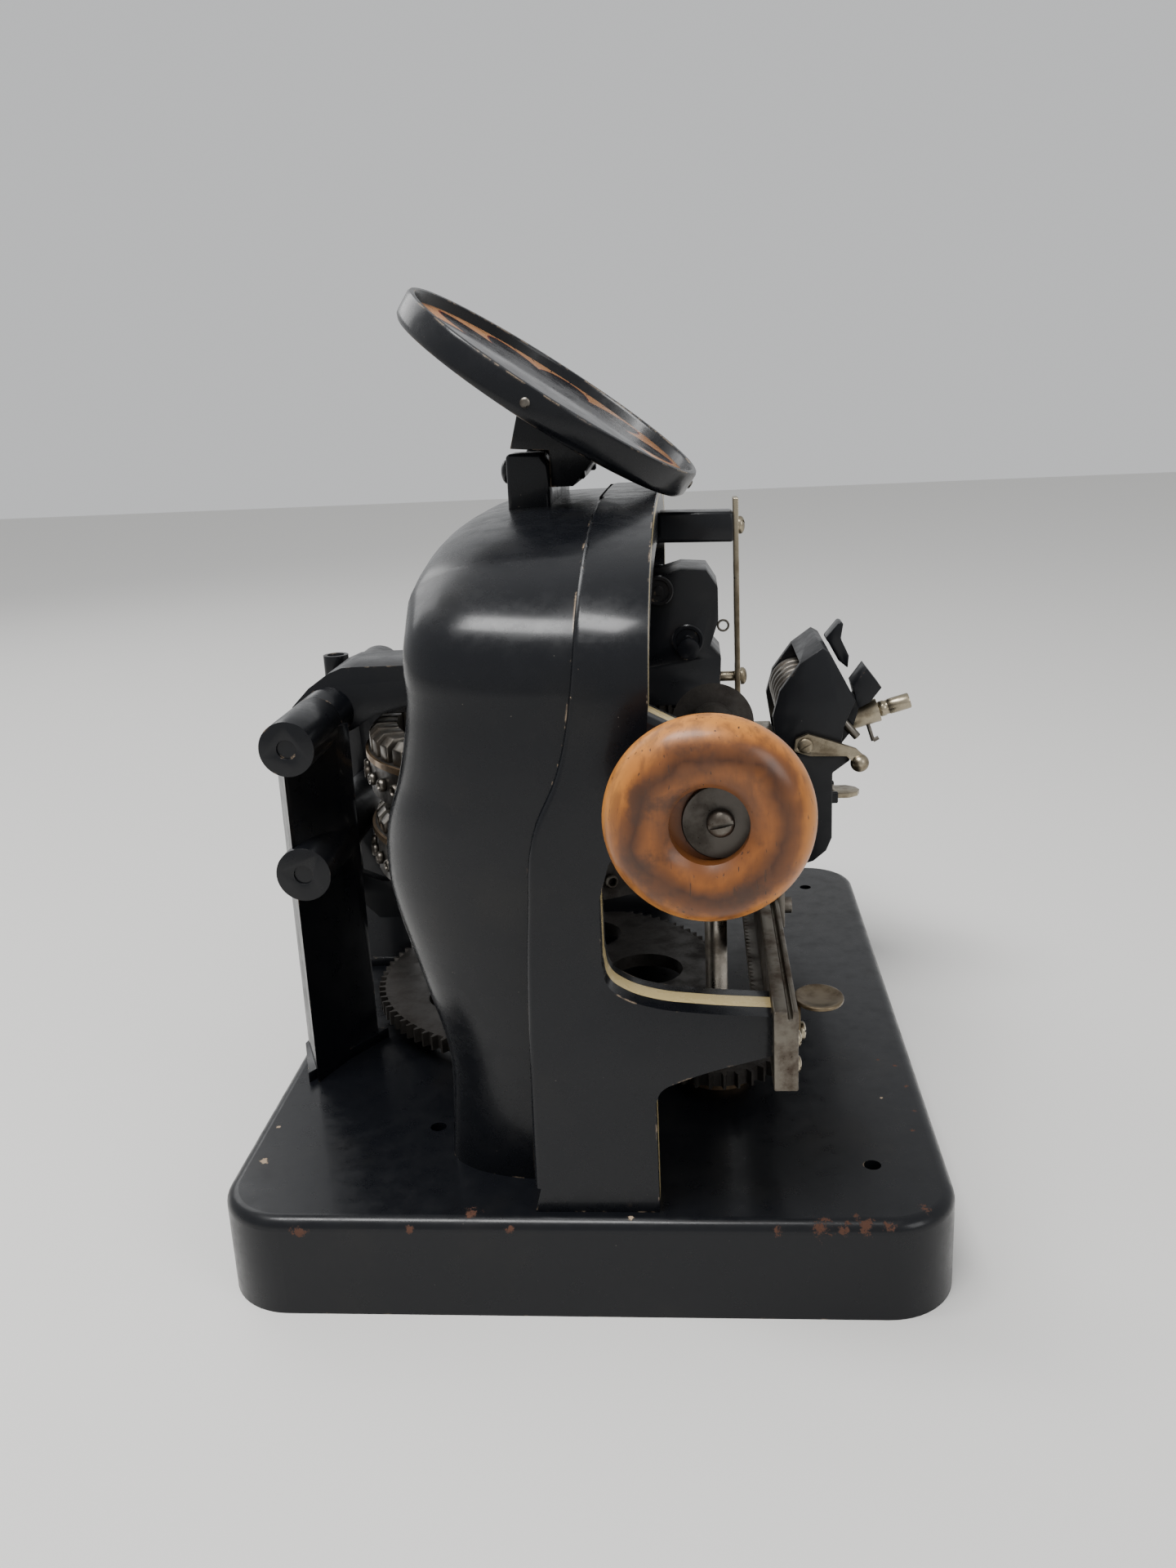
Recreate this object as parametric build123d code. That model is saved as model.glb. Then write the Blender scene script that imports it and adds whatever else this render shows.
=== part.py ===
"""Hand-worked plate embossing machine: cast base and arch, type wheels, press beam, carriage."""
from math import atan2, cos, pi, radians, sin, sqrt
import os

from build123d import *

os.makedirs("parts", exist_ok=True)

# Driving sizes, mm.  X points to the operator, Y to the operator's right, Z up.
# Base slab
base_length = 295.0
base_width = 394.0
base_height = 42.8
base_corner = 29.0
base_edge = 5.0
base_wall = 9.0
base_rib = 8.0
fixing_hole = 7.0
fixing_front = (117.0, 157.0)
fixing_rear = (-67.0, 128.0)

# Arch casting
arch_half = 190.0
arch_leg = 22.0
arch_shoulder = 241.0
arch_crown = 305.5
crown_power = 2.8
crown_steps = 16
bend_y = -142.0
bend_z = 252.0
hood_wall = 7.0
flange_front = 31.3
flange_rear = -17.0
flange_top_front = 34.4
throat_x = 13.0
arm_reach = 75.0
arm_bottom = 96.0
arm_top = 125.8
arm_nose_rise = 14.0

# Carriage rail
rail_thick = 9.0
rail_low = 99.0
rail_high = 131.0
rail_half = 197.0
rail_groove = 1.6

# Type wheels on the upright spindle
wheel_x = -29.0
wheel_radius = 84.0
wheel_count = 40
spindle_radius = 7.0
wheel_clear = 15.4
punch_low = 168.0
punch_high = 188.0
punch_top = 199.0
die_low = 128.0
die_high = 150.0
die_top = 158.0
strap_wall = 1.4
eyelet_radius = 3.2

# Press beam and die lever, hinged on the rear posts
beam_pivot_z = 206.0
lever_pivot_z = 148.0
pin_radius = 4.3
beam_half = 21.0
beam_low = 205.0
beam_high = 228.0
head_x = 50.0
head_high = 269.0
post_near = 89.0
post_inner = 44.0
post_boss = 12.4

# Knob and its gearing
knob_radius = 34.6
knob_bar = 12.6
knob_x = 56.4
knob_z = 215.0
knob_offset = 3.6
knob_face = 240.0
shaft_radius = 5.0
counter_y = -82.0
gear_ratio = 3
pinion_teeth = 30
gear_low = 52.0
gear_thick = 7.0

# Index dial
dial_radius = 77.5
dial_depth = 14.0
dial_wall = 4.0
dial_slope = 34.6
dial_x = -10.7
dial_lift = 6.2
dial_lean = 3.5

# Carriage, shown at its right-hand rest
carriage_left = 60.0
carriage_right = 128.0

# Fits
slide_gap = 0.12
running_fit = 0.05

pivot_x = wheel_x - wheel_radius - wheel_clear
type_circle = wheel_radius - 7
dial_z = arch_crown + dial_lift + dial_radius * sin(radians(dial_slope))
LOW = (Align.CENTER, Align.CENTER, Align.MIN)


def side(sketch, y0, y1):
    """Solid from an X-Z outline between two Y values."""
    return extrude(Plane.XZ.offset(-y0) * sketch, amount=y0 - y1)


def front(sketch, x0, x1):
    """Solid from a Y-Z outline between two X values."""
    return extrude(Plane.YZ.offset(x0) * sketch, amount=x1 - x0)


def plan(sketch, z0, z1):
    """Solid from an X-Y outline between two heights."""
    return extrude(Plane.XY.offset(z0) * sketch, amount=z1 - z0)


def outline(*points):
    """Closed straight-sided face in local axes."""
    return make_face(Polyline(*points, close=True))


def box(x0, x1, y0, y1, z0, z1):
    """Block between six limits."""
    return Pos((x0 + x1) / 2, (y0 + y1) / 2, (z0 + z1) / 2) * Box(x1 - x0, y1 - y0, z1 - z0)


def rod(start, end, radius):
    """Round bar from one point to another."""
    a = Vector(*start)
    b = Vector(*end)
    return Plane(origin=a, z_dir=b - a) * Cylinder(radius, (b - a).length, align=LOW)


def rod_y(x, z, radius, y0, y1):
    """Round bar along Y."""
    return rod((x, y0, z), (x, y1, z), radius)


def upright(x, y, radius, z0, z1):
    """Round bar along Z."""
    return Pos(x, y, z0) * Cylinder(radius, z1 - z0, align=LOW)


def slotted_screw(radius, head, slot=1.0):
    """Domed slotted head standing on local Z = 0."""
    dome = Pos(0, 0, head - radius * 1.25) * Sphere(radius * 1.25)
    body = Cylinder(radius, head, align=LOW) & dome
    return body - Pos(0, 0, head) * Box(3 * radius, slot, head * 0.7)


def save(shape, name):
    """Write one node."""
    export_step(shape, f"parts/{name}.step")


def joined(pieces):
    """Union of a list of solids."""
    total = pieces[0]
    for piece in pieces[1:]:
        total = total + piece
    return total


def mirrored(piece):
    """The piece and its twin on the far side."""
    return piece + mirror(piece, Plane.XZ)


# ---------------------------------------------------------------- base
def base_slab():
    rim = RectangleRounded(base_length, base_width, base_corner)
    slab = plan(rim, 0, base_height)
    slab = fillet(slab.edges().group_by(Axis.Z)[-1], base_edge)
    hollow = RectangleRounded(base_length - 2 * base_wall, base_width - 2 * base_wall, base_corner - base_wall)
    slab = slab - plan(hollow, 0, base_height - base_wall)
    slab = slab + box(-base_length / 2 + 4, base_length / 2 - 4, -base_rib / 2, base_rib / 2, 0, base_height - base_wall)
    slab = slab + box(-base_rib / 2, base_rib / 2, -base_width / 2 + 4, base_width / 2 - 4, 0, base_height - base_wall)
    for x, y in (fixing_front, fixing_rear):
        for hand in (-1, 1):
            slab = slab + upright(x, hand * y, fixing_hole + 3, 0, base_height - base_wall)
            slab = slab - upright(x, hand * y, fixing_hole / 2, -1, base_height + 1)
    return slab - upright(wheel_x, 0, spindle_radius + 2, base_height - base_wall - 1, base_height + 1)


# ---------------------------------------------------------------- arch
def crown_line(inset):
    """Outer or inner Y-Z line of the arch above its legs, a flattened curve inset from the outside face."""
    half = arch_half - inset
    rise = arch_crown - inset - arch_shoulder
    points = []
    for i in range(crown_steps + 1):
        turn = pi * i / crown_steps
        across = abs(cos(turn)) ** (2 / crown_power)
        up = sin(turn) ** (2 / crown_power) if 0 < i < crown_steps else 0
        points.append((-half * across if i * 2 < crown_steps else half * across, arch_shoulder + rise * up))
    return Spline(*points)


def arch_ring(inset):
    """Y-Z face under one of the arch lines."""
    half = arch_half - inset
    legs = Polyline((half, arch_shoulder), (half, base_height), (-half, base_height), (-half, arch_shoulder))
    return make_face(crown_line(inset) + legs)


def flange_outline():
    """X-Z outline of the flat flange and its forward arm."""
    rear = Spline((9.7, arch_crown + 2), (5.3, 246), (-0.3, 220), (-10.4, 196), (-13.5, 166), (-15, 141),
                  (flange_rear, base_height))
    nose = arm_reach
    foot = Polyline((flange_rear, base_height), (flange_front, base_height), (flange_front, arm_bottom - 6))
    under = Spline((flange_front, arm_bottom - 6), (flange_front + 2, arm_bottom - 1), (flange_front + 9, arm_bottom + 3),
                   (nose, arm_bottom + arm_nose_rise))
    throat = Spline((nose, arm_top), (nose - 27, arm_top + 1.8), (nose - 44, arm_top + 4.2), (throat_x + 7, arm_top + 8.5),
                    (throat_x + 2, arm_top + 13), (throat_x, arm_top + 22))
    face = Polyline((throat_x, arm_top + 22), (throat_x, 172), (throat_x + 4, 186), (flange_front - 2, 204),
                    (flange_front + 1.5, 242), (flange_top_front, arch_crown + 2), (9.7, arch_crown + 2))
    return make_face(rear + foot + under + Line((nose, arm_bottom + arm_nose_rise), (nose, arm_top)) + throat + face)


def knob_web():
    """X-Z outline of the lug on the near flange that carries the knob shaft."""
    return outline((throat_x + 6, 182), (knob_x - 6, knob_z - 17), (knob_x + 12, knob_z), (knob_x - 4, knob_z + 15),
                   (flange_front - 2, 242), (throat_x + 8, 242))


# Hood stations up the leg: height, crease X, free-edge X, step in from the flange face, depth
leg_stations = ((base_height, -17, -57, 22, 23), (90, -16, -55, 17, 28), (128, -15, -64, 12, 33),
                (166, -13, -73, 7, 38), (190, -11, -72, 4, 40), (212, -3, -65, 3, 41),
                (arch_shoulder, 4.5, -59, 2, 41))


def hood_section(place, crease, edge, step, depth):
    """Closed wire of the hood wall on a plane whose local x is machine X and local y points outward."""
    reach = crease + 4 - edge
    outer = []
    inner = []
    for i in range(5):
        turn = radians(90 * i / 4)
        outer.append((crease + 4 - reach * sin(turn), -step - depth * (1 - cos(turn))))
        inner.append((crease + 4 - (reach - hood_wall) * sin(turn),
                      -step - hood_wall - (depth - hood_wall) * (1 - cos(turn))))
    wire = Spline(*outer) + Line(outer[-1], inner[-1]) + Spline(*reversed(inner)) + Line(inner[0], outer[0])
    return place * make_face(wire)


def crown_height(y):
    """Height of the arch's outside line above a Y value."""
    return arch_shoulder + (arch_crown - arch_shoulder) * (1 - (abs(y) / arch_half) ** crown_power) ** (1 / crown_power)


def crown_point(turn):
    """Outside point of the shoulder, seen from the bend centre at an angle above the horizontal."""
    near = 20.0
    far = 90.0
    for _ in range(40):
        reach = (near + far) / 2
        y = bend_y - reach * cos(turn)
        z = bend_z + reach * sin(turn)
        inside = y > -arch_half and z < crown_height(y)
        near, far = (reach, far) if inside else (near, reach)
    return y, z


def hood_half():
    """Curved wall behind the near flange, up the leg and over the crown to the middle."""
    faces = []
    for z, crease, edge, step, depth in leg_stations:
        place = Plane(origin=(0, -arch_half, z), x_dir=(1, 0, 0), z_dir=(0, 0, -1))
        faces.append(hood_section(place, crease, edge, step, depth))
    for share in range(7):
        turn = radians(15 * share)
        y, z = crown_point(turn)
        place = Plane(origin=(0, y, z), x_dir=(1, 0, 0), z_dir=(0, -sin(turn), -cos(turn)))
        faces.append(hood_section(place, 5 + share / 2, -59, 2, 39))
    for y in (bend_y / 2, 0):
        place = Plane(origin=(0, y, crown_height(y)), x_dir=(1, 0, 0), z_dir=(0, -1, 0))
        faces.append(hood_section(place, 9, -58.5, 2, 39))
    return loft(faces, ruled=True)


def arch_frame():
    ring = front(arch_ring(0), -80, 90) - front(arch_ring(arch_leg), -81, 91)
    flange = ring & side(flange_outline(), -arch_half - 1, arch_half + 1)
    flange = flange + mirrored(hood_half())
    flange = flange + side(knob_web(), -arch_half, -arch_half + arch_leg)
    flange = flange + rod_y(knob_x, knob_z, 15, -arch_half, -arch_half + arch_leg + 8)
    bore = rod_y(knob_x, knob_z, shaft_radius + running_fit, -arch_half - 1, -arch_half + arch_leg + 9)
    rail_seat = box(arm_reach, arm_reach + rail_thick, -arch_half - 1, arch_half + 1, arm_bottom, rail_high)
    return flange - bore - rail_seat


# ---------------------------------------------------------------- rail
rail_x = arm_reach
rail_front = rail_x + rail_thick


def rail_bar():
    bar = box(rail_x, rail_front, -rail_half, rail_half, rail_low, rail_high)
    groove_x = rail_x + rail_thick * 0.58
    groove = box(groove_x, groove_x + rail_groove, -rail_half - 1, rail_half + 1, rail_high - 3, rail_high + 1)
    return bar - groove


def frame_screws():
    """Slotted screws of the rail, the guide strip and the paddle."""
    screws = []
    for y in (-arch_half + 6, arch_half - 6):
        for z in (rail_low + 4.5, rail_low + 15):
            place = Plane(origin=(rail_front, y, z), z_dir=(1, 0, 0))
            screws.append(place * slotted_screw(3.2, 2.2))
    return Compound(screws + [strip_screw(), paddle_screw()])


def feed_rack():
    """Toothed strip under the rail's rear edge that the carriage pawl follows."""
    pitch = 4.0
    count = int(2 * (arch_half - arch_leg - 6) / pitch)
    start = -count * pitch / 2
    points = [(rail_x - 5, start)]
    for i in range(count):
        y = start + i * pitch
        points += [(rail_x - 5, y), (rail_x - 3, y + 1), (rail_x - 5, y + pitch - 1)]
    points += [(rail_x - 5, -start), (rail_x, -start), (rail_x, start)]
    return plan(outline(*points[1:]), rail_low + 2, rail_low + 9)


def margin_stops():
    stops = []
    for y in (stop_left, stop_right):
        clip = box(rail_front, rail_front + 3, y - 7, y + 7, rail_high - 14, rail_high + 2.4)
        lip = box(rail_x - 1.5, rail_front, y - 7, y + 7, rail_high, rail_high + 2.4)
        ring = rod((rail_front + 3, y, rail_high - 6), (rail_front + 6.5, y, rail_high - 6), 3.6)
        stops.append(clip + lip + ring)
    return Compound(stops)


stop_left = -78.0
stop_right = (carriage_right + arch_half - 10) / 2


# ---------------------------------------------------------------- rear posts
def rear_post(hand):
    """Upright with two pivot bosses, on one side of the beam."""
    web = outline((pivot_x - 3.1, -post_near), (pivot_x + 15.4, -post_inner), (pivot_x - 10.6, -post_inner),
                  (pivot_x - 16.6, -post_inner - 13))
    post = plan(web, base_height, beam_pivot_z)
    for x, z in ((pivot_x, beam_pivot_z), (pivot_x + 1.5, lever_pivot_z)):
        boss = rod_y(x, z, post_boss, -post_near - 2.5, -post_inner)
        post = post + boss - rod_y(x, z, pin_radius + running_fit, -post_near - 4, -post_inner + 1)
    foot = plan(outline((pivot_x - 7.6, -post_near), (pivot_x + 20.4, -post_inner + 1), (pivot_x - 14.6, -post_inner + 1),
                        (pivot_x - 17.6, -post_inner - 15)), base_height, base_height + 5)
    post = post + foot
    return post if hand < 0 else mirror(post, Plane.XZ)


def pivot_pin(x, z):
    return rod_y(x, z, pin_radius, -post_near - 1.5, post_near + 1.5)


# ---------------------------------------------------------------- press beam
def head_outline():
    """X-Z outline of the head, nipped in at the pivot boss."""
    nose = head_x + 11
    return ((head_x - 24, beam_low), (nose, beam_low), (nose + 1, beam_low + 22), (nose - 4, beam_low + 28),
            (nose, beam_low + 40), (nose, head_high - 9), (head_x + 6, head_high - 1), (head_x - 6, head_high),
            (head_x - 20, head_high - 4), (head_x - 24, beam_high))


def press_beam():
    """Heavy lever from the rear posts over the wheels to the head."""
    rear = pivot_x
    back = rear - post_boss - 5.5
    points = ((back, beam_pivot_z + 3), (back + 9, beam_high - 10), (back + 19, beam_high - 3.2),
              (back + 26, beam_high - 0.4), (back + 32, beam_high), (head_x - 24, beam_high),
              (head_x - 24, beam_low), (rear + 24, beam_low), (rear + 13, beam_pivot_z - 8),
              (rear + 4, beam_pivot_z - post_boss), (rear - 5, beam_pivot_z - post_boss), (back + 2, beam_pivot_z - 6))
    beam = side(outline(*points), -beam_half, beam_half)
    hub = rod_y(rear, beam_pivot_z, post_boss, -post_inner + 0.4, post_inner - 0.4)
    beam = beam + hub
    beam = beam + side(outline(*head_outline()), -beam_half, beam_half)
    boss = rod_y(head_x - 3, 232, 5, -beam_half - 3, beam_half + 3)
    beam = beam + boss - upright(head_x, 0, 6, beam_low - 1, beam_low + 14)
    beam = beam - rod((head_x + 5, 0, stud_z), (head_x + 20, 0, stud_z), 2.4)
    return beam - rod_y(rear, beam_pivot_z, pin_radius + running_fit, -post_inner, post_inner)


def press_hammer():
    """Square block under the head that meets the type, with its round shank in the head."""
    block = box(head_x - 12, head_x + 13.5, -14, 14, beam_low - 3, beam_low)
    return block + upright(head_x, 0, 6, beam_low, beam_low + 14)


def head_stud():
    """Screw that guides the head in the strip's slot."""
    face = head_x + 12
    shank = rod((face - 6, 0, stud_z), (strip_x + strip_thick + 0.8, 0, stud_z), 2.4)
    place = Plane(origin=(strip_x + strip_thick + 0.4, 0, stud_z), z_dir=(1, 0, 0))
    return shank + place * slotted_screw(4.2, 3)


def head_ring():
    """Wire eye on the head's front."""
    eye = Plane(origin=(head_x + 11 + 2.4, -12, 241), z_dir=(0, 1, 0)) * Torus(2.6, 0.8)
    return eye - side(outline(*head_outline()), -beam_half, beam_half)


def beam_cup():
    """Open cup for the beam's return spring."""
    cup_x = pivot_x - 8
    cup = upright(cup_x, 30, 6.5, beam_pivot_z - 4, beam_high - 3) - upright(cup_x, 30, 4.5, beam_high - 12, beam_high)
    return cup - rod_y(pivot_x, beam_pivot_z, post_boss, 20, 40)


stud_z = 214.0
strip_x = head_x + 19.0
strip_thick = 2.4


# ---------------------------------------------------------------- die lever
def die_lever():
    """Forked lever under the wheels; its cheeks pass either side of the spindle."""
    rear = pivot_x + 1.5
    z = lever_pivot_z
    cheek_low = 98.0
    points = ((rear - 9, z - 8), (rear - 12.4, z), (rear - 7, z + 10), (rear + 3, z + 11), (rear + 6, z + 2), (rear + 6, z - 26),
              (rear + 16, cheek_low + 20), (head_x + 12, cheek_low + 14), (head_x + 12, cheek_low + 2), (rear + 14, cheek_low),
              (rear, cheek_low + 14), (rear - 7, z - 24))
    cheeks = [side(outline(*points), y0, y1) for y0, y1 in ((-20, -13), (13, 20))]
    lever = joined(cheeks) + rod_y(rear, z, post_boss - 0.6, -post_inner + 0.4, post_inner - 0.4)
    lever = lever + box(head_x - 14, head_x + 12, -13, 13, cheek_low + 2, cheek_low + 14)
    return lever - rod_y(rear, z, pin_radius + running_fit, -post_inner, post_inner)


def die_anvil():
    low = 98.0 + 14
    return box(head_x - 9, head_x + 7, -9, 9, low, die_low - 4.5)


# ---------------------------------------------------------------- type wheels
def around(piece, count):
    """Copies of a piece about the spindle."""
    copies = []
    for i in range(count):
        copies.append(Pos(wheel_x, 0, 0) * Rot(0, 0, 360 * i / count) * piece)
    return Compound(copies)


def wheel_spindle():
    shaft = upright(wheel_x, 0, spindle_radius, base_height - base_wall + 1.5, 200)
    return shaft


def wheel_disc(low, high, hub_low, hub_high):
    """Turned wheel with a rim, a thin web and a hub bored for the spindle."""
    disc = upright(wheel_x, 0, wheel_radius, low, high)
    ring = upright(wheel_x, 0, wheel_radius - 18, low - 1, high + 1) - upright(wheel_x, 0, 18, low - 2, high + 2)
    middle = (low + high) / 2
    web = upright(wheel_x, 0, wheel_radius - 10, middle - 3, middle + 3)
    holes = [Pos(wheel_x, 0, 0) * Rot(0, 0, 60 * i) * upright(42, 0, 13, low, high) for i in range(6)]
    disc = (disc - ring) + web - joined(holes)
    disc = disc + upright(wheel_x, 0, 16, hub_low, hub_high)
    return disc - upright(wheel_x, 0, spindle_radius, low - 40, high + 40)


def type_heads(low, high):
    """Stepped block at each type station."""
    inner = type_circle - 8
    outer = type_circle + 6
    block = side(outline((inner, low), (outer, low), (outer, high - 3.5), (outer - 4, high), (inner, high)), -4, 4)
    return around(block, wheel_count)


def wheel_strap(low, high):
    """Retaining strap shrunk round the rim."""
    outer = wheel_radius + strap_wall
    return upright(wheel_x, 0, outer, low, high) - upright(wheel_x, 0, wheel_radius, low - 1, high + 1)


def rim_eyelets(z):
    """Hollow stop pin standing out of the rim at each station."""
    tube = rod((wheel_radius, 0, z), (wheel_radius + 3.2, 0, z), eyelet_radius)
    tube = tube - rod((wheel_radius + 0.8, 0, z), (wheel_radius + 4, 0, z), eyelet_radius * 0.55)
    return around(tube, wheel_count)


def gear_points(teeth, pitch_radius, phase):
    """Outline of a straight-cut gear with easy clearance."""
    module = 2 * pitch_radius / teeth
    tip = pitch_radius + 0.7 * module
    root = pitch_radius - 0.95 * module
    points = []
    for i in range(teeth):
        middle = 2 * pi * i / teeth + phase
        for radius, width in ((root, -0.95), (tip, -0.42), (tip, 0.42), (root, 0.95)):
            turn = middle + width * module / (2 * pitch_radius) * 1.25
            points.append((radius * cos(turn), radius * sin(turn)))
    return points


counter_span = sqrt((knob_x - wheel_x) ** 2 + counter_y ** 2)
pinion_radius = counter_span / (gear_ratio + 1)
gear_radius = pinion_radius * gear_ratio
mesh_turn = atan2(counter_y, knob_x - wheel_x)


def spindle_gear():
    teeth = pinion_teeth * gear_ratio
    face = Pos(wheel_x, 0) * outline(*gear_points(teeth, gear_radius, mesh_turn))
    gear = plan(face, gear_low, gear_low + gear_thick) + upright(wheel_x, 0, 14, gear_low - 3, gear_low + gear_thick + 5)
    for i in range(5):
        gear = gear - Pos(wheel_x, 0, 0) * Rot(0, 0, 72 * i) * upright(50, 0, 19, gear_low - 1, gear_low + gear_thick + 1)
    return gear - upright(wheel_x, 0, spindle_radius, gear_low - 4, gear_low + 20)


def spindle_bearing():
    low = base_height
    collar = upright(wheel_x, 0, 17, low, low + 4) - upright(wheel_x, 0, spindle_radius + running_fit, low - 1, low + 5)
    return collar


# ---------------------------------------------------------------- knob train
def wood_knob():
    """Thick turned ring, dished to a flat seat in front; its bore is a little off the ring's centre."""
    ring_x = knob_x - knob_offset
    middle_y = -knob_face + knob_bar
    ring = Plane(origin=(ring_x, middle_y, knob_z), z_dir=(0, 1, 0)) * Torus(knob_radius - knob_bar, knob_bar)
    core = rod_y(ring_x, knob_z, knob_radius - knob_bar, seat_y, middle_y + knob_bar - 3)
    knob = ring + core
    knob = knob - rod_y(knob_x, knob_z, 12.6, -knob_face - 1, seat_y)
    knob = knob - rod_y(knob_x, knob_z, shaft_radius, seat_y - 1, -arch_half)
    return knob


seat_y = -knob_face + knob_bar - 2


def knob_washer():
    disc = rod_y(knob_x, knob_z, 11.8, seat_y - 2, seat_y)
    return disc - rod_y(knob_x, knob_z, 3, seat_y - 3, seat_y + 1)


def knob_screw():
    place = Plane(origin=(knob_x, seat_y - 2, knob_z), z_dir=(0, -1, 0))
    return place * slotted_screw(4.6, 4.2, 1.2) + rod_y(knob_x, knob_z, 3, seat_y - 2.5, seat_y + 8)


def knob_shaft():
    shaft = rod_y(knob_x, knob_z, shaft_radius, seat_y, counter_y - 6)
    return shaft - rod_y(knob_x, knob_z, 3, seat_y - 1, seat_y + 8)


def bevel(back_radius, thick):
    """Mitre wheel blank, its small face on local Z = 0."""
    return Cone(back_radius - thick, back_radius, thick, align=LOW) + Pos(0, 0, thick) * Cylinder(9, 5, align=LOW)


mitre_radius = 17.0
mitre_thick = 8.0
mitre_reach = 9.5


def knob_mitre():
    place = Plane(origin=(knob_x, counter_y - mitre_reach, knob_z), z_dir=(0, -1, 0))
    return place * bevel(mitre_radius, mitre_thick) - rod_y(knob_x, knob_z, shaft_radius, -140, counter_y + 3)


def knob_bracket():
    """Casting bolted inside the near leg that steadies the knob shaft and the upright shaft."""
    inside = -arch_half + arch_leg
    lug = rod_y(knob_x, knob_z, 13, inside + 9, inside + 24)
    arm = box(knob_x - 9, knob_x + 9, inside + 9, counter_y + 9, 176, 186)
    cheek = box(knob_x - 9, knob_x + 9, inside + 9, inside + 19, 176, knob_z)
    tail = box(throat_x + 2, knob_x, inside, inside + 9, 180, knob_z - 18) + box(throat_x + 2, knob_x - 4, inside + 8, inside + 19, 178, 192)
    bracket = lug + cheek + arm + tail + upright(knob_x, counter_y, 11, 176, 186)
    bracket = bracket - rod_y(knob_x, knob_z, shaft_radius + running_fit, inside - 1, inside + 30)
    return bracket - upright(knob_x, counter_y, shaft_radius + running_fit, 170, 190)


def counter_shaft():
    return upright(knob_x, counter_y, shaft_radius, base_height + 1.5, knob_z - 10)


def counter_mitre():
    place = Plane(origin=(knob_x, counter_y, knob_z - mitre_reach), z_dir=(0, 0, -1))
    return place * bevel(mitre_radius, mitre_thick) - upright(knob_x, counter_y, shaft_radius, 180, knob_z)


def counter_pinion():
    phase = mesh_turn + pi + pi / pinion_teeth
    face = Pos(knob_x, counter_y) * outline(*gear_points(pinion_teeth, pinion_radius, phase))
    pinion = plan(face, gear_low, gear_low + gear_thick) + upright(knob_x, counter_y, 11, gear_low, gear_low + 14)
    return pinion - upright(knob_x, counter_y, shaft_radius, gear_low - 1, gear_low + 20)


def counter_bearing():
    low = base_height
    flange = upright(knob_x, counter_y, 15, low, low + 3) + upright(knob_x, counter_y, 10, low, low + 8)
    return flange - upright(knob_x, counter_y, shaft_radius + running_fit, low + 1, low + 9)


# ---------------------------------------------------------------- top bracket and guide strip
def top_bracket():
    """Bar standing forward from the crown that carries the guide strip."""
    high = arch_crown - 12
    low = high - 14
    bar = side(outline((flange_top_front - 12, low + 1), (strip_x, low), (strip_x, high), (flange_top_front - 12, high + 1)), -9, 9)
    return bar - arch_body


def guide_strip():
    """Nickel strip hanging in front of the head, slotted for its stud."""
    high = arch_crown - 6
    strip = box(strip_x, strip_x + strip_thick, -6.5, 6.5, 193, high)
    strip = strip - box(strip_x - 1, strip_x + 5, -2.6, 2.6, stud_z - 9, stud_z + 6)
    return strip


def strip_screw():
    place = Plane(origin=(strip_x + strip_thick, 0, arch_crown - 19), z_dir=(1, 0, 0))
    return place * slotted_screw(4.2, 3)


# ---------------------------------------------------------------- index dial
def dial_plane(depth):
    """Local plane of the dial, a depth below its rim."""
    slope = radians(dial_slope)
    lean = radians(dial_lean)
    normal = Vector(sin(slope) * cos(lean), -sin(lean), cos(slope) * cos(lean))
    origin = Vector(dial_x, 0, dial_z) - normal * depth
    return Plane(origin=origin, x_dir=(cos(slope), 0, -sin(slope)), z_dir=normal)


def dial_dish():
    dish = dial_plane(dial_depth) * Cylinder(dial_radius, dial_depth, align=LOW)
    floor = dial_plane(dial_depth - dial_wall) * Cylinder(dial_radius - dial_wall, dial_depth, align=LOW)
    return dish - floor


def dial_insert():
    """Printed plate lying in the dish."""
    return dial_plane(dial_depth - dial_wall) * Cylinder(dial_radius - dial_wall - 0.3, 1.2, align=LOW)


def dial_rivets():
    rivets = []
    for i in range(4):
        turn = radians(-90 + 90 * i)
        centre = dial_plane(dial_depth / 2)
        spot = centre.from_local_coords(Vector(dial_radius * cos(turn), dial_radius * sin(turn), 0))
        out = centre.from_local_coords(Vector(cos(turn), sin(turn), 0)) - centre.origin
        rivets.append(Plane(origin=spot, z_dir=out) * (Cylinder(2.2, 0.9, align=LOW)))
    return Compound(rivets)


def dial_lug():
    """Web under the dish that bolts to the crown bracket."""
    foot = arch_crown + 4.5
    web = outline((-12, foot), (-1, foot), (-1, foot + 14), (12, dial_z - 25), (12, dial_z), (-20, dial_z), (-27, dial_z - 4),
                  (-12, dial_z - 25))
    lug = side(web, -44, 44)
    return lug - dial_plane(dial_depth) * Cylinder(dial_radius + 5, 60, align=LOW)


def dial_bracket():
    """Upright on the crown that the dial's lug bolts to."""
    high = arch_crown + 19.5
    post = side(outline((-30.5, arch_crown - 15.5), (-12, arch_crown - 10.5), (-12, high - 5), (-15, high), (-30.5, high)), -50, 50)
    post = post - dial_plane(dial_depth) * Cylinder(dial_radius + 5, 60, align=LOW)
    relief = box(-32, -11, -26, 26, arch_crown + 5.5, high + 5)
    return post - relief - arch_body


def dial_bolts():
    bolts = []
    z = arch_crown + 11.5
    for y in (-36, 36):
        left = Plane(origin=(-30.5, y, z), z_dir=(-1, 0, 0)) * slotted_screw(5.2, 4)
        nut = rod((-1, y, z), (3, y, z), 4.4)
        bolts.append(left)
        bolts.append(nut)
    return Compound(bolts)


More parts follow.
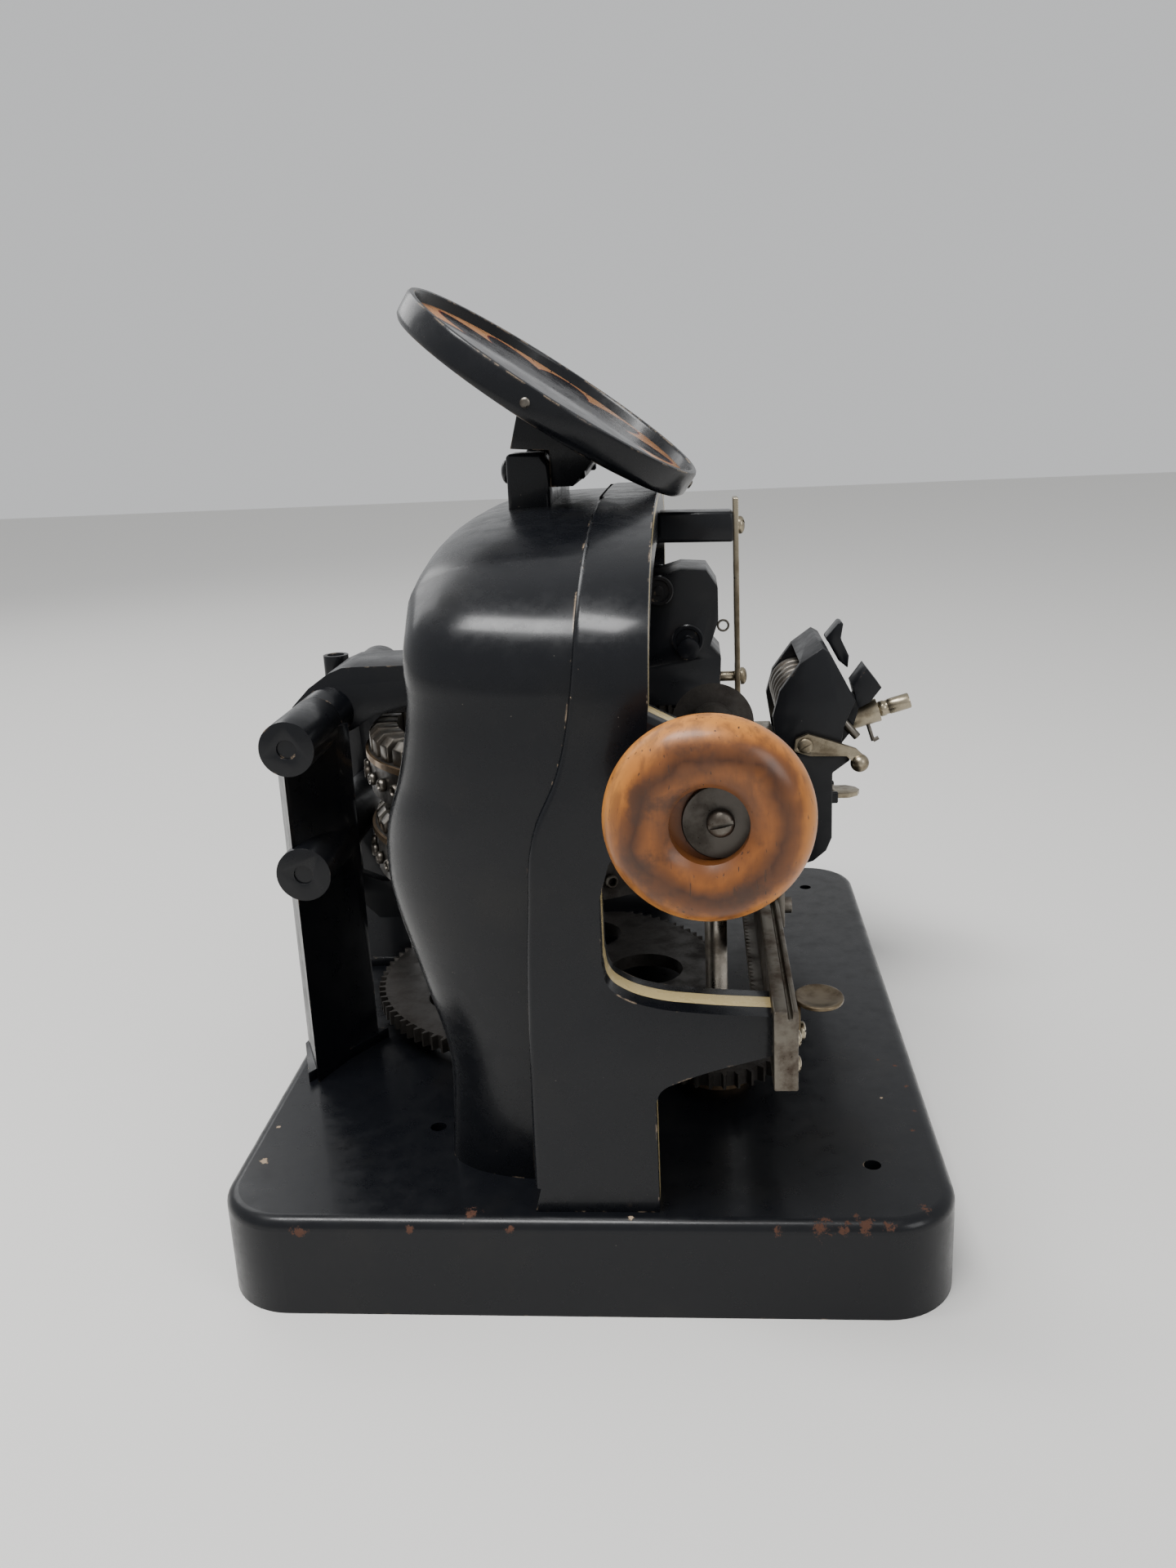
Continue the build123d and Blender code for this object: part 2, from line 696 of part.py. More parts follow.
# ---------------------------------------------------------------- carriage
def carriage_saddle():
    """Casting that hooks over the rail and hangs in front of it."""
    gap = slide_gap
    points = ((rail_front + gap, rail_high + gap), (rail_front + gap, 97), (90, 94.5), (104, 92.5), (113, 95.5), (120, 101.5),
              (123, 109), (123, 146), (132.5, 153), (130, 158), (66, 158), (66, 121), (rail_x - gap, 121),
              (rail_x - gap, rail_high + gap))
    return side(outline(*points), carriage_left, carriage_right) + tab_ears()


def carriage_cheeks():
    """End cheeks of the drum housing."""
    shape = outline((94, 158), (91, 178), (94.8, 192), (105.6, 206.8), (117, 215), (121, 212.6), (135, 186), (129, 172), (127, 158))
    cheeks = [side(shape, y0, y1) for y0, y1 in ((carriage_left, carriage_left + 6), (carriage_right - 6, carriage_right))]
    hood = outline((105.6, 206.8), (117, 215), (121, 212.6), (135, 186), (133, 184), (119.6, 209.5), (116.6, 212), (106.6, 204.6))
    axle = rod_y(drum_x, drum_z, 3, carriage_left, carriage_right)
    return joined(cheeks) + side(hood, carriage_left, carriage_right) + axle


drum_x = 108.0
drum_z = 184.0
drum_radius = 15.5


def ribbed_drum():
    """Feed drum between the cheeks, ribbed along its length."""
    y0 = carriage_left + 6 + 0.3
    y1 = carriage_right - 6 - 0.3
    core = rod_y(drum_x, drum_z, drum_radius - 3, y0, y1)
    rings = [rod_y(drum_x, drum_z, drum_radius, y0 + 11 * i, y0 + 11 * i + 6) for i in range(5)]
    return joined([core] + rings) - rod_y(drum_x, drum_z, 3 + running_fit, y0 - 1, y1 + 1)


def carriage_block():
    """Angled stop block in front of the housing."""
    block = side(outline((134, 193), (141, 202.6), (149, 192), (143, 184), (137, 181)), carriage_left + 4, carriage_left + 26)
    arm = side(outline((124, 176), (131, 186), (139, 186), (134, 168), (126, 158), (120, 158)), carriage_left + 7, carriage_left + 23)
    rest = Compound([carriage_rod(), carriage_hook(), tube_boss(), tube_core()])
    return block + arm - carriage_room - rest


def tube_core():
    """Line that the tube knob's stem and the collar share."""
    y = carriage_left + 15
    return rod((134, y, 172.9), (156, y, 179.3), 2.6)


def tube_boss():
    """Nickel collar that the tube knob turns in."""
    start = (134, carriage_left + 15, 172.9)
    end = (149, carriage_left + 15, 177.3)
    return rod(start, end, 6.4) - tube_core() - carriage_room


def tube_knob():
    axis = Vector(0.96, 0, 0.28)
    start = Vector(149.4, carriage_left + 15, 177.42)
    end = start + axis * 17
    tube = rod(tuple(start), tuple(end), 4.3) - rod(tuple(end - axis * 7), tuple(end + axis), 2.8)
    return tube + rod(tuple(start - axis * 9), tuple(start), 2.5)


def ball_lever():
    """Nickel finger lever with a ball end, on the carriage's left face."""
    y1 = carriage_left - 0.5
    shape = outline((102, 160), (103, 166.5), (109.5, 169.1), (116, 167), (135.2, 160.3), (139.5, 156), (134, 152.5), (130, 156.5), (110.3, 157))
    lever = side(shape, y1 - 3.4, y1)
    ball = Pos(137.2, y1 - 1.7, 152.2) * Sphere(5)
    return lever + ball - rod_y(108, 163, 2.6 + running_fit, y1 - 5, y1 + 1)


def lever_screw():
    y1 = carriage_left
    stem = rod_y(108, 163, 2.6, y1 - 4.3, y1)
    place = Plane(origin=(108, y1 - 4.3, 163), z_dir=(0, -1, 0))
    return stem + place * slotted_screw(4.2, 2.2)


def clamp_lever():
    """Upright thumb lever that opens the paper and plate clamp."""
    y0 = carriage_left + 28
    shape = outline((121.5, 214.9), (129.1, 224), (131.4, 223.1), (130, 214.6), (134.5, 205), (134, 198), (128.8, 202.4), (123.4, 212.4))
    return side(shape, y0, y0 + 14)


def carriage_rod():
    return rod((127, carriage_left + 5, 176), (136.5, carriage_left + 5, 165), 2.2) - carriage_room


def carriage_hook():
    """Thin wire hook below the tube knob."""
    y = carriage_left + 15
    down = rod((142, y, 174), (146.5, y, 160), 1.1)
    return down + rod((146.5, y, 160), (149.5, y, 161.6), 1.1) - tube_boss() - tube_core()


def finger_tab():
    """Flat rounded tab low on the carriage front."""
    y = carriage_left + 24
    tab = plan(outline((123.4, y - 9), (134, y - 9), (139, y - 5), (140.6, y), (139, y + 5), (134, y + 9), (123.4, y + 9)), 127, 129.6)
    return tab + rod_y(125.6, 128.3, 2.2, y - 9, y + 9)


def tab_ears():
    """Ears on the saddle that the finger tab hinges between."""
    y = carriage_left + 24
    ears = [box(123, 127.6, y0, y0 + 3, 125, 131.6) for y0 in (y - 12.3, y + 9.3)]
    return joined(ears)


def plate_table():
    """Thin steel table that holds the metal plate level with the gap between the wheels."""
    table = box(62, 93, carriage_left + 8, carriage_right - 8, die_top + 2, die_top + 3.6)
    post = box(80, 92, carriage_left + 8, carriage_right - 8, 158, die_top + 2)
    clips = [box(62, 72, y, y + 4, die_top + 3.6, die_top + 5) for y in (carriage_left + 12, carriage_right - 16)]
    return table + post + joined(clips)


# ---------------------------------------------------------------- margin release
paddle_y = -172.0


def release_paddle():
    """Nickel thumb paddle: a small oval leaf on a stem, hinged on the rail's face."""
    stem = box(rail_front + 0.6, rail_front + 2.4, paddle_y - 4, paddle_y + 4, 107, 125.5)
    leaf = plan(Pos(rail_front + 9.5, paddle_y) * Ellipse(9.6, 11), 124, 125.6)
    leaf = leaf - box(0, rail_front + 0.6, -300, 0, 100, 140)
    return stem + leaf - rod((rail_front - 1, paddle_y, 111), (rail_front + 5, paddle_y, 111), 2 + running_fit)


def paddle_screw():
    stem = rod((rail_front, paddle_y, 111), (rail_front + 2.8, paddle_y, 111), 2)
    place = Plane(origin=(rail_front + 2.8, paddle_y, 111), z_dir=(1, 0, 0))
    return stem + place * slotted_screw(3.6, 2)


# ---------------------------------------------------------------- output
arch_body = arch_frame()
carriage_room = joined([carriage_saddle(), carriage_cheeks()])

save(base_slab(), "base_slab")
save(arch_body, "arch_frame")
save(rail_bar(), "rail_bar")
save(frame_screws(), "frame_screws")
save(feed_rack(), "feed_rack")
save(margin_stops(), "margin_stops")
save(rear_post(-1), "rear_post_left")
save(rear_post(1), "rear_post_right")
save(pivot_pin(pivot_x, beam_pivot_z), "beam_pin")
save(pivot_pin(pivot_x + 1.5, lever_pivot_z), "lever_pin")
save(press_beam(), "press_beam")
save(press_hammer(), "press_hammer")
save(head_stud(), "head_stud")
save(head_ring(), "head_ring")
save(beam_cup(), "beam_cup")
save(die_lever(), "die_lever")
save(die_anvil(), "die_anvil")
save(wheel_spindle(), "wheel_spindle")
save(wheel_disc(punch_low, punch_high, punch_low - 4, 196), "punch_wheel")
save(wheel_disc(die_low, die_high, die_low - 2, die_high + 4), "die_wheel")
save(type_heads(punch_high, punch_top), "punch_heads")
save(type_heads(die_high, die_top), "die_heads")
save(wheel_strap(punch_high - 3, punch_high), "punch_strap")
save(wheel_strap(die_high - 3, die_high), "die_strap")
save(rim_eyelets(punch_low + 9), "punch_eyelets")
save(rim_eyelets(die_low + 9), "die_eyelets")
save(spindle_gear(), "spindle_gear")
save(spindle_bearing(), "spindle_bearing")
save(wood_knob(), "wood_knob")
save(knob_washer(), "knob_washer")
save(knob_screw(), "knob_screw")
save(knob_shaft(), "knob_shaft")
save(knob_mitre(), "knob_mitre")
save(knob_bracket(), "knob_bracket")
save(counter_shaft(), "counter_shaft")
save(counter_mitre(), "counter_mitre")
save(counter_pinion(), "counter_pinion")
save(counter_bearing(), "counter_bearing")
save(top_bracket(), "top_bracket")
save(guide_strip(), "guide_strip")
save(dial_dish(), "dial_dish")
save(dial_insert(), "dial_insert")
save(dial_rivets(), "dial_rivets")
save(dial_lug(), "dial_lug")
save(dial_bracket(), "dial_bracket")
save(dial_bolts(), "dial_bolts")
save(carriage_saddle(), "carriage_saddle")
save(carriage_cheeks(), "carriage_cheeks")
save(ribbed_drum(), "ribbed_drum")
save(carriage_block(), "carriage_block")
save(tube_boss(), "tube_boss")
save(tube_knob(), "tube_knob")
save(ball_lever(), "ball_lever")
save(lever_screw(), "lever_screw")
save(clamp_lever(), "clamp_lever")
save(Compound([carriage_rod(), carriage_hook()]), "carriage_rods")
save(finger_tab(), "finger_tab")
save(plate_table(), "plate_table")
save(release_paddle(), "release_paddle")
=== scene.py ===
import bpy
import bmesh
import math
from mathutils import Vector, Matrix


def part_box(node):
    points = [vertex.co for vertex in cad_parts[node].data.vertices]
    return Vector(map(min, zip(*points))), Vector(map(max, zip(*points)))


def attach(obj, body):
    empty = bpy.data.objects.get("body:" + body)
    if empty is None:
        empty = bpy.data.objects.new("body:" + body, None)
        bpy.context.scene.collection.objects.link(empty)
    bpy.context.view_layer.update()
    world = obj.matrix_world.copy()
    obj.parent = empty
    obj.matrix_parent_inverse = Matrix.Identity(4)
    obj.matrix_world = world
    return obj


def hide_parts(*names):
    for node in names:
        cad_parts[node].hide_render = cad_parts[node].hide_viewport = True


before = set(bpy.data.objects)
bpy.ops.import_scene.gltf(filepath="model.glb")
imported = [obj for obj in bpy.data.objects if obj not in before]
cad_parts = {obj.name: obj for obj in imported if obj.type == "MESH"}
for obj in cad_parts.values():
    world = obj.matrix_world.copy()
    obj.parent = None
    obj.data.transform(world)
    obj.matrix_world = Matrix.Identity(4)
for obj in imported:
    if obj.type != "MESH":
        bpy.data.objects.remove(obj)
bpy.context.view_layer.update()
print("frame loaded")

mm = 0.001


# hand tools

def deselect():
    active = bpy.context.view_layer.objects.active
    if active and active.mode != "OBJECT":
        bpy.ops.object.mode_set(mode="OBJECT")
    bpy.ops.object.select_all(action="DESELECT")


def pick(piece):
    deselect()
    piece.select_set(True)
    bpy.context.view_layer.objects.active = piece


def editAll(piece):
    pick(piece)
    bpy.ops.object.mode_set(mode="EDIT")
    bpy.ops.mesh.select_all(action="SELECT")


def done():
    bpy.ops.object.mode_set(mode="OBJECT")


def turnOut(piece):
    editAll(piece)
    bpy.ops.mesh.remove_doubles(threshold=1e-6)
    bpy.ops.mesh.dissolve_degenerate(threshold=1e-6)
    bpy.ops.mesh.normals_make_consistent(inside=False)
    done()


def useModifier(piece, kind, **values):
    pick(piece)
    modifier = piece.modifiers.new(kind.title(), kind)
    for key, value in values.items():
        setattr(modifier, key, value)
    bpy.ops.object.modifier_apply(modifier=modifier.name)


def smooth(piece, degrees=35):
    pick(piece)
    bpy.ops.object.shade_smooth_by_angle(angle=math.radians(degrees))


def soften(piece, width, rings=2, degrees=30):
    # rounds every corner sharper than the angle
    useModifier(piece, "BEVEL", width=width * mm, segments=rings, limit_method="ANGLE",
                angle_limit=math.radians(degrees), use_clamp_overlap=True)
    smooth(piece, 40)


def settle(piece):
    pick(piece)
    bpy.ops.object.transform_apply(location=True, rotation=True, scale=True)


def joinUp(name, pieces):
    deselect()
    for piece in pieces:
        piece.select_set(True)
    bpy.context.view_layer.objects.active = pieces[0]
    if len(pieces) > 1:
        bpy.ops.object.join()
    pieces[0].name = name
    return pieces[0]


def twin(piece):
    # a copy with its own mesh
    deselect()
    copied = piece.copy()
    copied.data = piece.data.copy()
    bpy.context.scene.collection.objects.link(copied)
    return copied


def plate(name, points, low, high, along="y"):
    # outline laid down point by point, then pulled to its thickness
    deselect()
    bpy.ops.mesh.primitive_circle_add(vertices=len(points), radius=0.01, fill_type="NGON")
    piece = bpy.context.object
    piece.name = name
    for vertex, (a, b) in zip(piece.data.vertices, points):
        spot = {"y": (a, low, b), "x": (low, a, b), "z": (a, b, low)}[along]
        vertex.co = Vector(spot) * mm
    pull = {"y": (0, high - low, 0), "x": (high - low, 0, 0), "z": (0, 0, high - low)}[along]
    editAll(piece)
    bpy.ops.mesh.extrude_region_move(TRANSFORM_OT_translate={"value": Vector(pull) * mm})
    done()
    turnOut(piece)
    return piece


def sweep(name, sections, mark=None):
    # one ring of points carried from section to section by extruding
    count = len(sections[0])
    deselect()
    bpy.ops.mesh.primitive_circle_add(vertices=count, radius=0.01, fill_type="NGON")
    piece = bpy.context.object
    piece.name = name
    piece.data.attributes.new("order", "INT", "POINT")
    piece.data.attributes.new("worn", "FLOAT", "POINT")
    order, worn = piece.data.attributes["order"], piece.data.attributes["worn"]
    for i, vertex in enumerate(piece.data.vertices):
        vertex.co = Vector(sections[0][i]) * mm
        order.data[i].value = i
    if mark:
        for i in range(count):
            worn.data[i].value = mark(0, i)
    editAll(piece)
    for step, section in enumerate(sections[1:], 1):
        bpy.ops.mesh.extrude_region_move()
        mesh = bmesh.from_edit_mesh(piece.data)
        place = mesh.verts.layers.int["order"]
        wear = mesh.verts.layers.float["worn"]
        for vertex in [v for v in mesh.verts if v.select]:
            vertex.co = Vector(section[vertex[place]]) * mm
            if mark:
                vertex[wear] = mark(step, vertex[place])
    done()
    turnOut(piece)
    piece.data.attributes.remove(piece.data.attributes["order"])
    return piece


def turned(name, profile, steps=48):
    # closed outline in radius and height, spun round Z
    deselect()
    bpy.ops.mesh.primitive_circle_add(vertices=len(profile), radius=0.01, fill_type="NOTHING")
    piece = bpy.context.object
    piece.name = name
    for vertex, (radius, height) in zip(piece.data.vertices, profile):
        vertex.co = Vector((radius, 0, height)) * mm
    editAll(piece)
    bpy.ops.mesh.spin(steps=steps, angle=math.tau, center=(0, 0, 0), axis=(0, 0, 1))
    done()
    turnOut(piece)
    return piece


def stand(piece, spot, direction):
    # turns local Z to a direction and moves the piece to its place
    piece.rotation_mode = "QUATERNION"
    piece.rotation_quaternion = Vector((0, 0, 1)).rotation_difference(Vector(direction))
    piece.location = Vector(spot) * mm
    settle(piece)
    return piece


def roundBar(name, start, end, radius, edge=0.4, steps=32):
    length = (Vector(end) - Vector(start)).length
    profile = [(0, 0), (radius - edge, 0), (radius, edge),
               (radius, length - edge), (radius - edge, length), (0, length)]
    piece = turned(name, profile, steps)
    smooth(piece, 50)
    return stand(piece, start, Vector(end) - Vector(start))


def slottedHead(name, spot, direction, radius, height, slot=0.9, turn=0.0):
    # domed head with its slot cut by a thin block
    flank = 0.35  # share of the height that is straight
    dome = [(0, 0), (radius, 0), (radius, height * flank)]
    for step in range(1, 8):
        a = step * math.pi / 16
        dome.append((radius * math.cos(a), height * (flank + (1 - flank) * math.sin(a))))
    dome.append((0, height))
    piece = turned(name, dome, 32)
    bpy.ops.mesh.primitive_cube_add(size=1)
    cutter = bpy.context.object
    cutter.scale = (radius * 3 * mm, slot * mm, height * 0.8 * mm)
    cutter.location = (0, 0, height * 1.05 * mm)
    cutter.rotation_euler = (0, 0, turn)
    settle(cutter)
    useModifier(piece, "BOOLEAN", object=cutter, operation="DIFFERENCE", solver="EXACT")
    bpy.data.objects.remove(cutter)
    smooth(piece, 40)
    return stand(piece, spot, direction)


def wire(name, points, radius, closed=False, steps=6):
    # bent wire through points, made a mesh
    line = bpy.data.curves.new(name, "CURVE")
    line.dimensions = "3D"
    line.bevel_depth = radius * mm
    line.bevel_resolution = 3
    line.use_fill_caps = True
    line.resolution_u = steps
    spline = line.splines.new("NURBS")
    spline.points.add(len(points) - 1)
    for point, spot in zip(spline.points, points):
        point.co = (*(Vector(spot) * mm), 1)
    spline.use_cyclic_u = closed
    spline.order_u = 3
    spline.use_endpoint_u = not closed
    piece = bpy.data.objects.new(name, line)
    bpy.context.scene.collection.objects.link(piece)
    pick(piece)
    bpy.ops.object.convert(target="MESH")
    piece = bpy.context.object
    turnOut(piece)
    smooth(piece, 60)
    return piece


def castCopy(node, width, rings=2, degrees=30):
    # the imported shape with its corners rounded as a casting's are
    piece = twin(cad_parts[node])
    piece.parent = None
    piece.matrix_world = Matrix.Identity(4)
    for key in list(piece.keys()):
        del piece[key]
    piece.name = node + "Cast"
    editAll(piece)
    bpy.ops.mesh.remove_doubles(threshold=2e-6)
    bpy.ops.mesh.dissolve_limited(angle_limit=math.radians(0.6))
    done()
    piece.data.materials.clear()
    soften(piece, width, rings, degrees)
    return piece


def finishPiece(piece, body, finish, slot, *nodes):
    piece.data.materials.clear()
    piece.data.materials.append(finish)
    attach(piece, body)
    if nodes:
        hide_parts(*nodes)


# the arch's sizes stand first, because its painted line is worked out from them

arch = {
    "half": 190, "leg": 22, "shoulder": 241, "crown": 305.5, "power": 2.8, "foot": 42.8,
    "front": 92, "back": -30, "sunk": 30,
    "bend": (-142, 252), "edge": 1.3, "backEdge": 2.4,
}


# paints and metals

def newFinish(name, colour, metallic, roughness, **sockets):
    finish = bpy.data.materials.new(name)
    finish.use_nodes = True
    shader = finish.node_tree.nodes["Principled BSDF"]
    shader.inputs["Base Color"].default_value = (*colour, 1)
    shader.inputs["Metallic"].default_value = metallic
    shader.inputs["Roughness"].default_value = roughness
    for key, value in sockets.items():
        shader.inputs[key.replace("_", " ")].default_value = value
    return finish, finish.node_tree, shader


def place(tree, offset=(0, 0, 0), turn=(0, 0, 0), stretch=(1, 1, 1)):
    coordinates = tree.nodes.new("ShaderNodeTexCoord")
    mapping = tree.nodes.new("ShaderNodeMapping")
    mapping.vector_type = "POINT"
    mapping.inputs["Location"].default_value = offset
    mapping.inputs["Rotation"].default_value = turn
    mapping.inputs["Scale"].default_value = stretch
    tree.links.new(coordinates.outputs["Object"], mapping.inputs["Vector"])
    return mapping.outputs["Vector"]


def noise(tree, vector, scale, detail=4.0, roughness=0.55, distortion=0.0):
    node = tree.nodes.new("ShaderNodeTexNoise")
    node.inputs["Scale"].default_value = scale
    node.inputs["Detail"].default_value = detail
    node.inputs["Roughness"].default_value = roughness
    node.inputs["Distortion"].default_value = distortion
    tree.links.new(vector, node.inputs["Vector"])
    return node.outputs["Fac"]


def cells(tree, vector, scale):
    node = tree.nodes.new("ShaderNodeTexVoronoi")
    node.inputs["Scale"].default_value = scale
    tree.links.new(vector, node.inputs["Vector"])
    return node.outputs["Distance"]


def ramp(tree, source, low, high, start=0.0, end=1.0):
    node = tree.nodes.new("ShaderNodeMapRange")
    node.interpolation_type = "SMOOTHSTEP"
    for key, value in zip(("From Min", "From Max", "To Min", "To Max"), (low, high, start, end)):
        node.inputs[key].default_value = value
    tree.links.new(source, node.inputs["Value"])
    return node.outputs["Result"]


def sums(tree, kind, a, b):
    node = tree.nodes.new("ShaderNodeMath")
    node.operation = kind
    for socket, value in zip(node.inputs, (a, b)):
        if isinstance(value, (int, float)):
            socket.default_value = value
        else:
            tree.links.new(value, socket)
    return node.outputs[0]


def blendTo(tree, factor, under, over):
    node = tree.nodes.new("ShaderNodeMix")
    node.data_type = "RGBA"
    tree.links.new(factor, node.inputs["Factor"])
    for socket, value in ((node.inputs[6], under), (node.inputs[7], over)):
        if isinstance(value, tuple):
            socket.default_value = (*value, 1)
        else:
            tree.links.new(value, socket)
    return node.outputs[2]


def relief(tree, shader, height, strength, distance):
    node = tree.nodes.new("ShaderNodeBump")
    node.inputs["Strength"].default_value = strength
    node.inputs["Distance"].default_value = distance
    tree.links.new(height, node.inputs["Height"])
    tree.links.new(node.outputs["Normal"], shader.inputs["Normal"])


def edgeWear(tree, radius):
    # how far the rounded normal leans from the true one
    rounded = tree.nodes.new("ShaderNodeBevel")
    rounded.samples = 4
    rounded.inputs["Radius"].default_value = radius
    geometry = tree.nodes.new("ShaderNodeNewGeometry")
    dot = tree.nodes.new("ShaderNodeVectorMath")
    dot.operation = "DOT_PRODUCT"
    tree.links.new(rounded.outputs["Normal"], dot.inputs[0])
    tree.links.new(geometry.outputs["Normal"], dot.inputs[1])
    return ramp(tree, dot.outputs["Value"], 0.985, 0.90)


def chipAt(tree, vector, spot, size, ragged):
    # a ragged patch round one spot
    node = tree.nodes.new("ShaderNodeVectorMath")
    node.operation = "DISTANCE"
    tree.links.new(vector, node.inputs[0])
    node.inputs[1].default_value = Vector(spot) * mm
    reach = sums(tree, "ADD", node.outputs["Value"], sums(tree, "MULTIPLY", ragged, size * 4.4 * mm))
    return ramp(tree, reach, size * 2.85 * mm, size * 2.65 * mm)


enamelLook = {
    "colour": (0.0042, 0.0047, 0.0062),
    "dusty": (0.0105, 0.0100, 0.0092),
    "dust": (0.19, 0.17, 0.145),
    "roughness": 0.26,
    "worn": (0.30, 0.225, 0.155),
    "rust": (0.070, 0.030, 0.018),
    "stripe": (0.52, 0.41, 0.20),
    "edgeWidth": 0.0011,
    "reliefDepth": 0.0006,
}


def enamel(name, chips=(), rustSpots=(), bands=(), wornLines=False, gloss=1.0, wear=0.55, lumps=1.6):
    look = enamelLook
    finish, tree, shader = newFinish(name, look["colour"], 0.0, look["roughness"],
                                     Coat_Weight=0.13, Coat_Roughness=0.13, Specular_IOR_Level=0.21)
    here = place(tree)
    cloud = noise(tree, here, 22, 5, 0.6)
    grime = noise(tree, here, 95, 6, 0.68)
    specks = cells(tree, here, 520)
    colour = blendTo(tree, ramp(tree, cloud, 0.50, 0.78, 0, 0.5), look["colour"], look["dusty"])
    dust = sums(tree, "MULTIPLY", ramp(tree, specks, 0.10, 0.05), ramp(tree, grime, 0.60, 0.68))
    colour = blendTo(tree, dust, colour, look["dust"])
    for low, high, floorX, tint in bands:
        colour = blendTo(tree, archLine(tree, here, low, high, floorX), colour, tint)
    ragged = noise(tree, here, 260, 6, 0.85)
    edge = sums(tree, "MULTIPLY", edgeWear(tree, look["edgeWidth"]), ramp(tree, grime, wear, wear + 0.08))
    colour = blendTo(tree, edge, colour, look["worn"])
    evenRough = look["roughness"] / gloss
    rough = ramp(tree, grime, 0.35, 0.75, evenRough * 0.88, evenRough * 1.4)
    chipped = None
    for spots, under in ((chips, look["worn"]), (rustSpots, look["rust"])):
        for spot, size in spots:
            patch = chipAt(tree, here, spot, size, ragged)
            colour = blendTo(tree, patch, colour, under)
            chipped = patch if chipped is None else sums(tree, "MAXIMUM", chipped, patch)
    if wornLines:
        stored = tree.nodes.new("ShaderNodeAttribute")
        stored.attribute_name = "worn"
        broken = ramp(tree, noise(tree, here, 60, 4, 0.6), 0.30, 0.62)
        line = sums(tree, "MULTIPLY", ramp(tree, stored.outputs["Fac"], 0.38, 0.72), broken)
        colour = blendTo(tree, line, colour, look["worn"])
        rough = sums(tree, "ADD", rough, sums(tree, "MULTIPLY", line, 0.3))
    if chipped is not None:
        rough = sums(tree, "ADD", rough, sums(tree, "MULTIPLY", chipped, 0.45))
    tree.links.new(colour, shader.inputs["Base Color"])
    tree.links.new(rough, shader.inputs["Roughness"])
    height = sums(tree, "ADD", sums(tree, "MULTIPLY", noise(tree, here, 26, 2, 0.4), lumps),
                  sums(tree, "MULTIPLY", grime, 0.16))
    if chipped is not None:
        height = sums(tree, "SUBTRACT", height, sums(tree, "MULTIPLY", chipped, 0.5))
    relief(tree, shader, height, 0.28, look["reliefDepth"])
    return finish


def archLine(tree, here, low, high, floorX):
    # a painted line a fixed share in from the arch's outside,
    # on faces that don't point along Y or down
    power = arch["power"]
    rise = arch["crown"] - arch["shoulder"]
    split = tree.nodes.new("ShaderNodeSeparateXYZ")
    tree.links.new(here, split.inputs[0])
    sideways = sums(tree, "ABSOLUTE", split.outputs["Y"], 0)
    across = sums(tree, "POWER", sums(tree, "DIVIDE", sideways, arch["half"] * mm), power)
    above = sums(tree, "MAXIMUM", sums(tree, "SUBTRACT", split.outputs["Z"], arch["shoulder"] * mm), 0.0)
    up = sums(tree, "POWER", sums(tree, "DIVIDE", above, rise * mm), power)
    share = sums(tree, "POWER", sums(tree, "ADD", across, up), 1 / power)
    brush = 0.002  # softness of the line's two edges
    line = sums(tree, "MULTIPLY", ramp(tree, share, low - brush, low), ramp(tree, share, high + brush, high))
    geometry = tree.nodes.new("ShaderNodeNewGeometry")
    facing = tree.nodes.new("ShaderNodeSeparateXYZ")
    tree.links.new(geometry.outputs["Normal"], facing.inputs[0])
    flat = sums(tree, "MULTIPLY", ramp(tree, sums(tree, "ABSOLUTE", facing.outputs["Y"], 0), 0.55, 0.35),
                ramp(tree, facing.outputs["Z"], -0.5, -0.3))
    reached = ramp(tree, split.outputs["X"], (floorX - 0.5) * mm, floorX * mm)
    return sums(tree, "MULTIPLY", sums(tree, "MULTIPLY", line, flat), reached)


def metal(name, colour, roughness, tarnish, dull=0.5, brushed=(1, 1, 1), metallic=1.0, strength=0.12):
    finish, tree, shader = newFinish(name, colour, metallic, roughness)
    here = place(tree, stretch=brushed)
    cloud = noise(tree, place(tree), 70, 5, 0.65)
    fine = noise(tree, here, 900, 3, 0.6)
    colours = blendTo(tree, ramp(tree, cloud, 0.42, 0.70, 0, dull), colour, tarnish)
    pits = sums(tree, "MULTIPLY", ramp(tree, cells(tree, place(tree), 700), 0.16, 0.06),
                ramp(tree, cloud, 0.5, 0.6))
    colours = blendTo(tree, pits, colours, tuple(c * 0.35 for c in tarnish))
    tree.links.new(colours, shader.inputs["Base Color"])
    rough = ramp(tree, cloud, 0.35, 0.7, roughness * 0.8, min(1, roughness * 1.5))
    tree.links.new(rough, shader.inputs["Roughness"])
    relief(tree, shader, sums(tree, "ADD", fine, sums(tree, "MULTIPLY", pits, -2.0)), strength, 0.0002)
    return finish


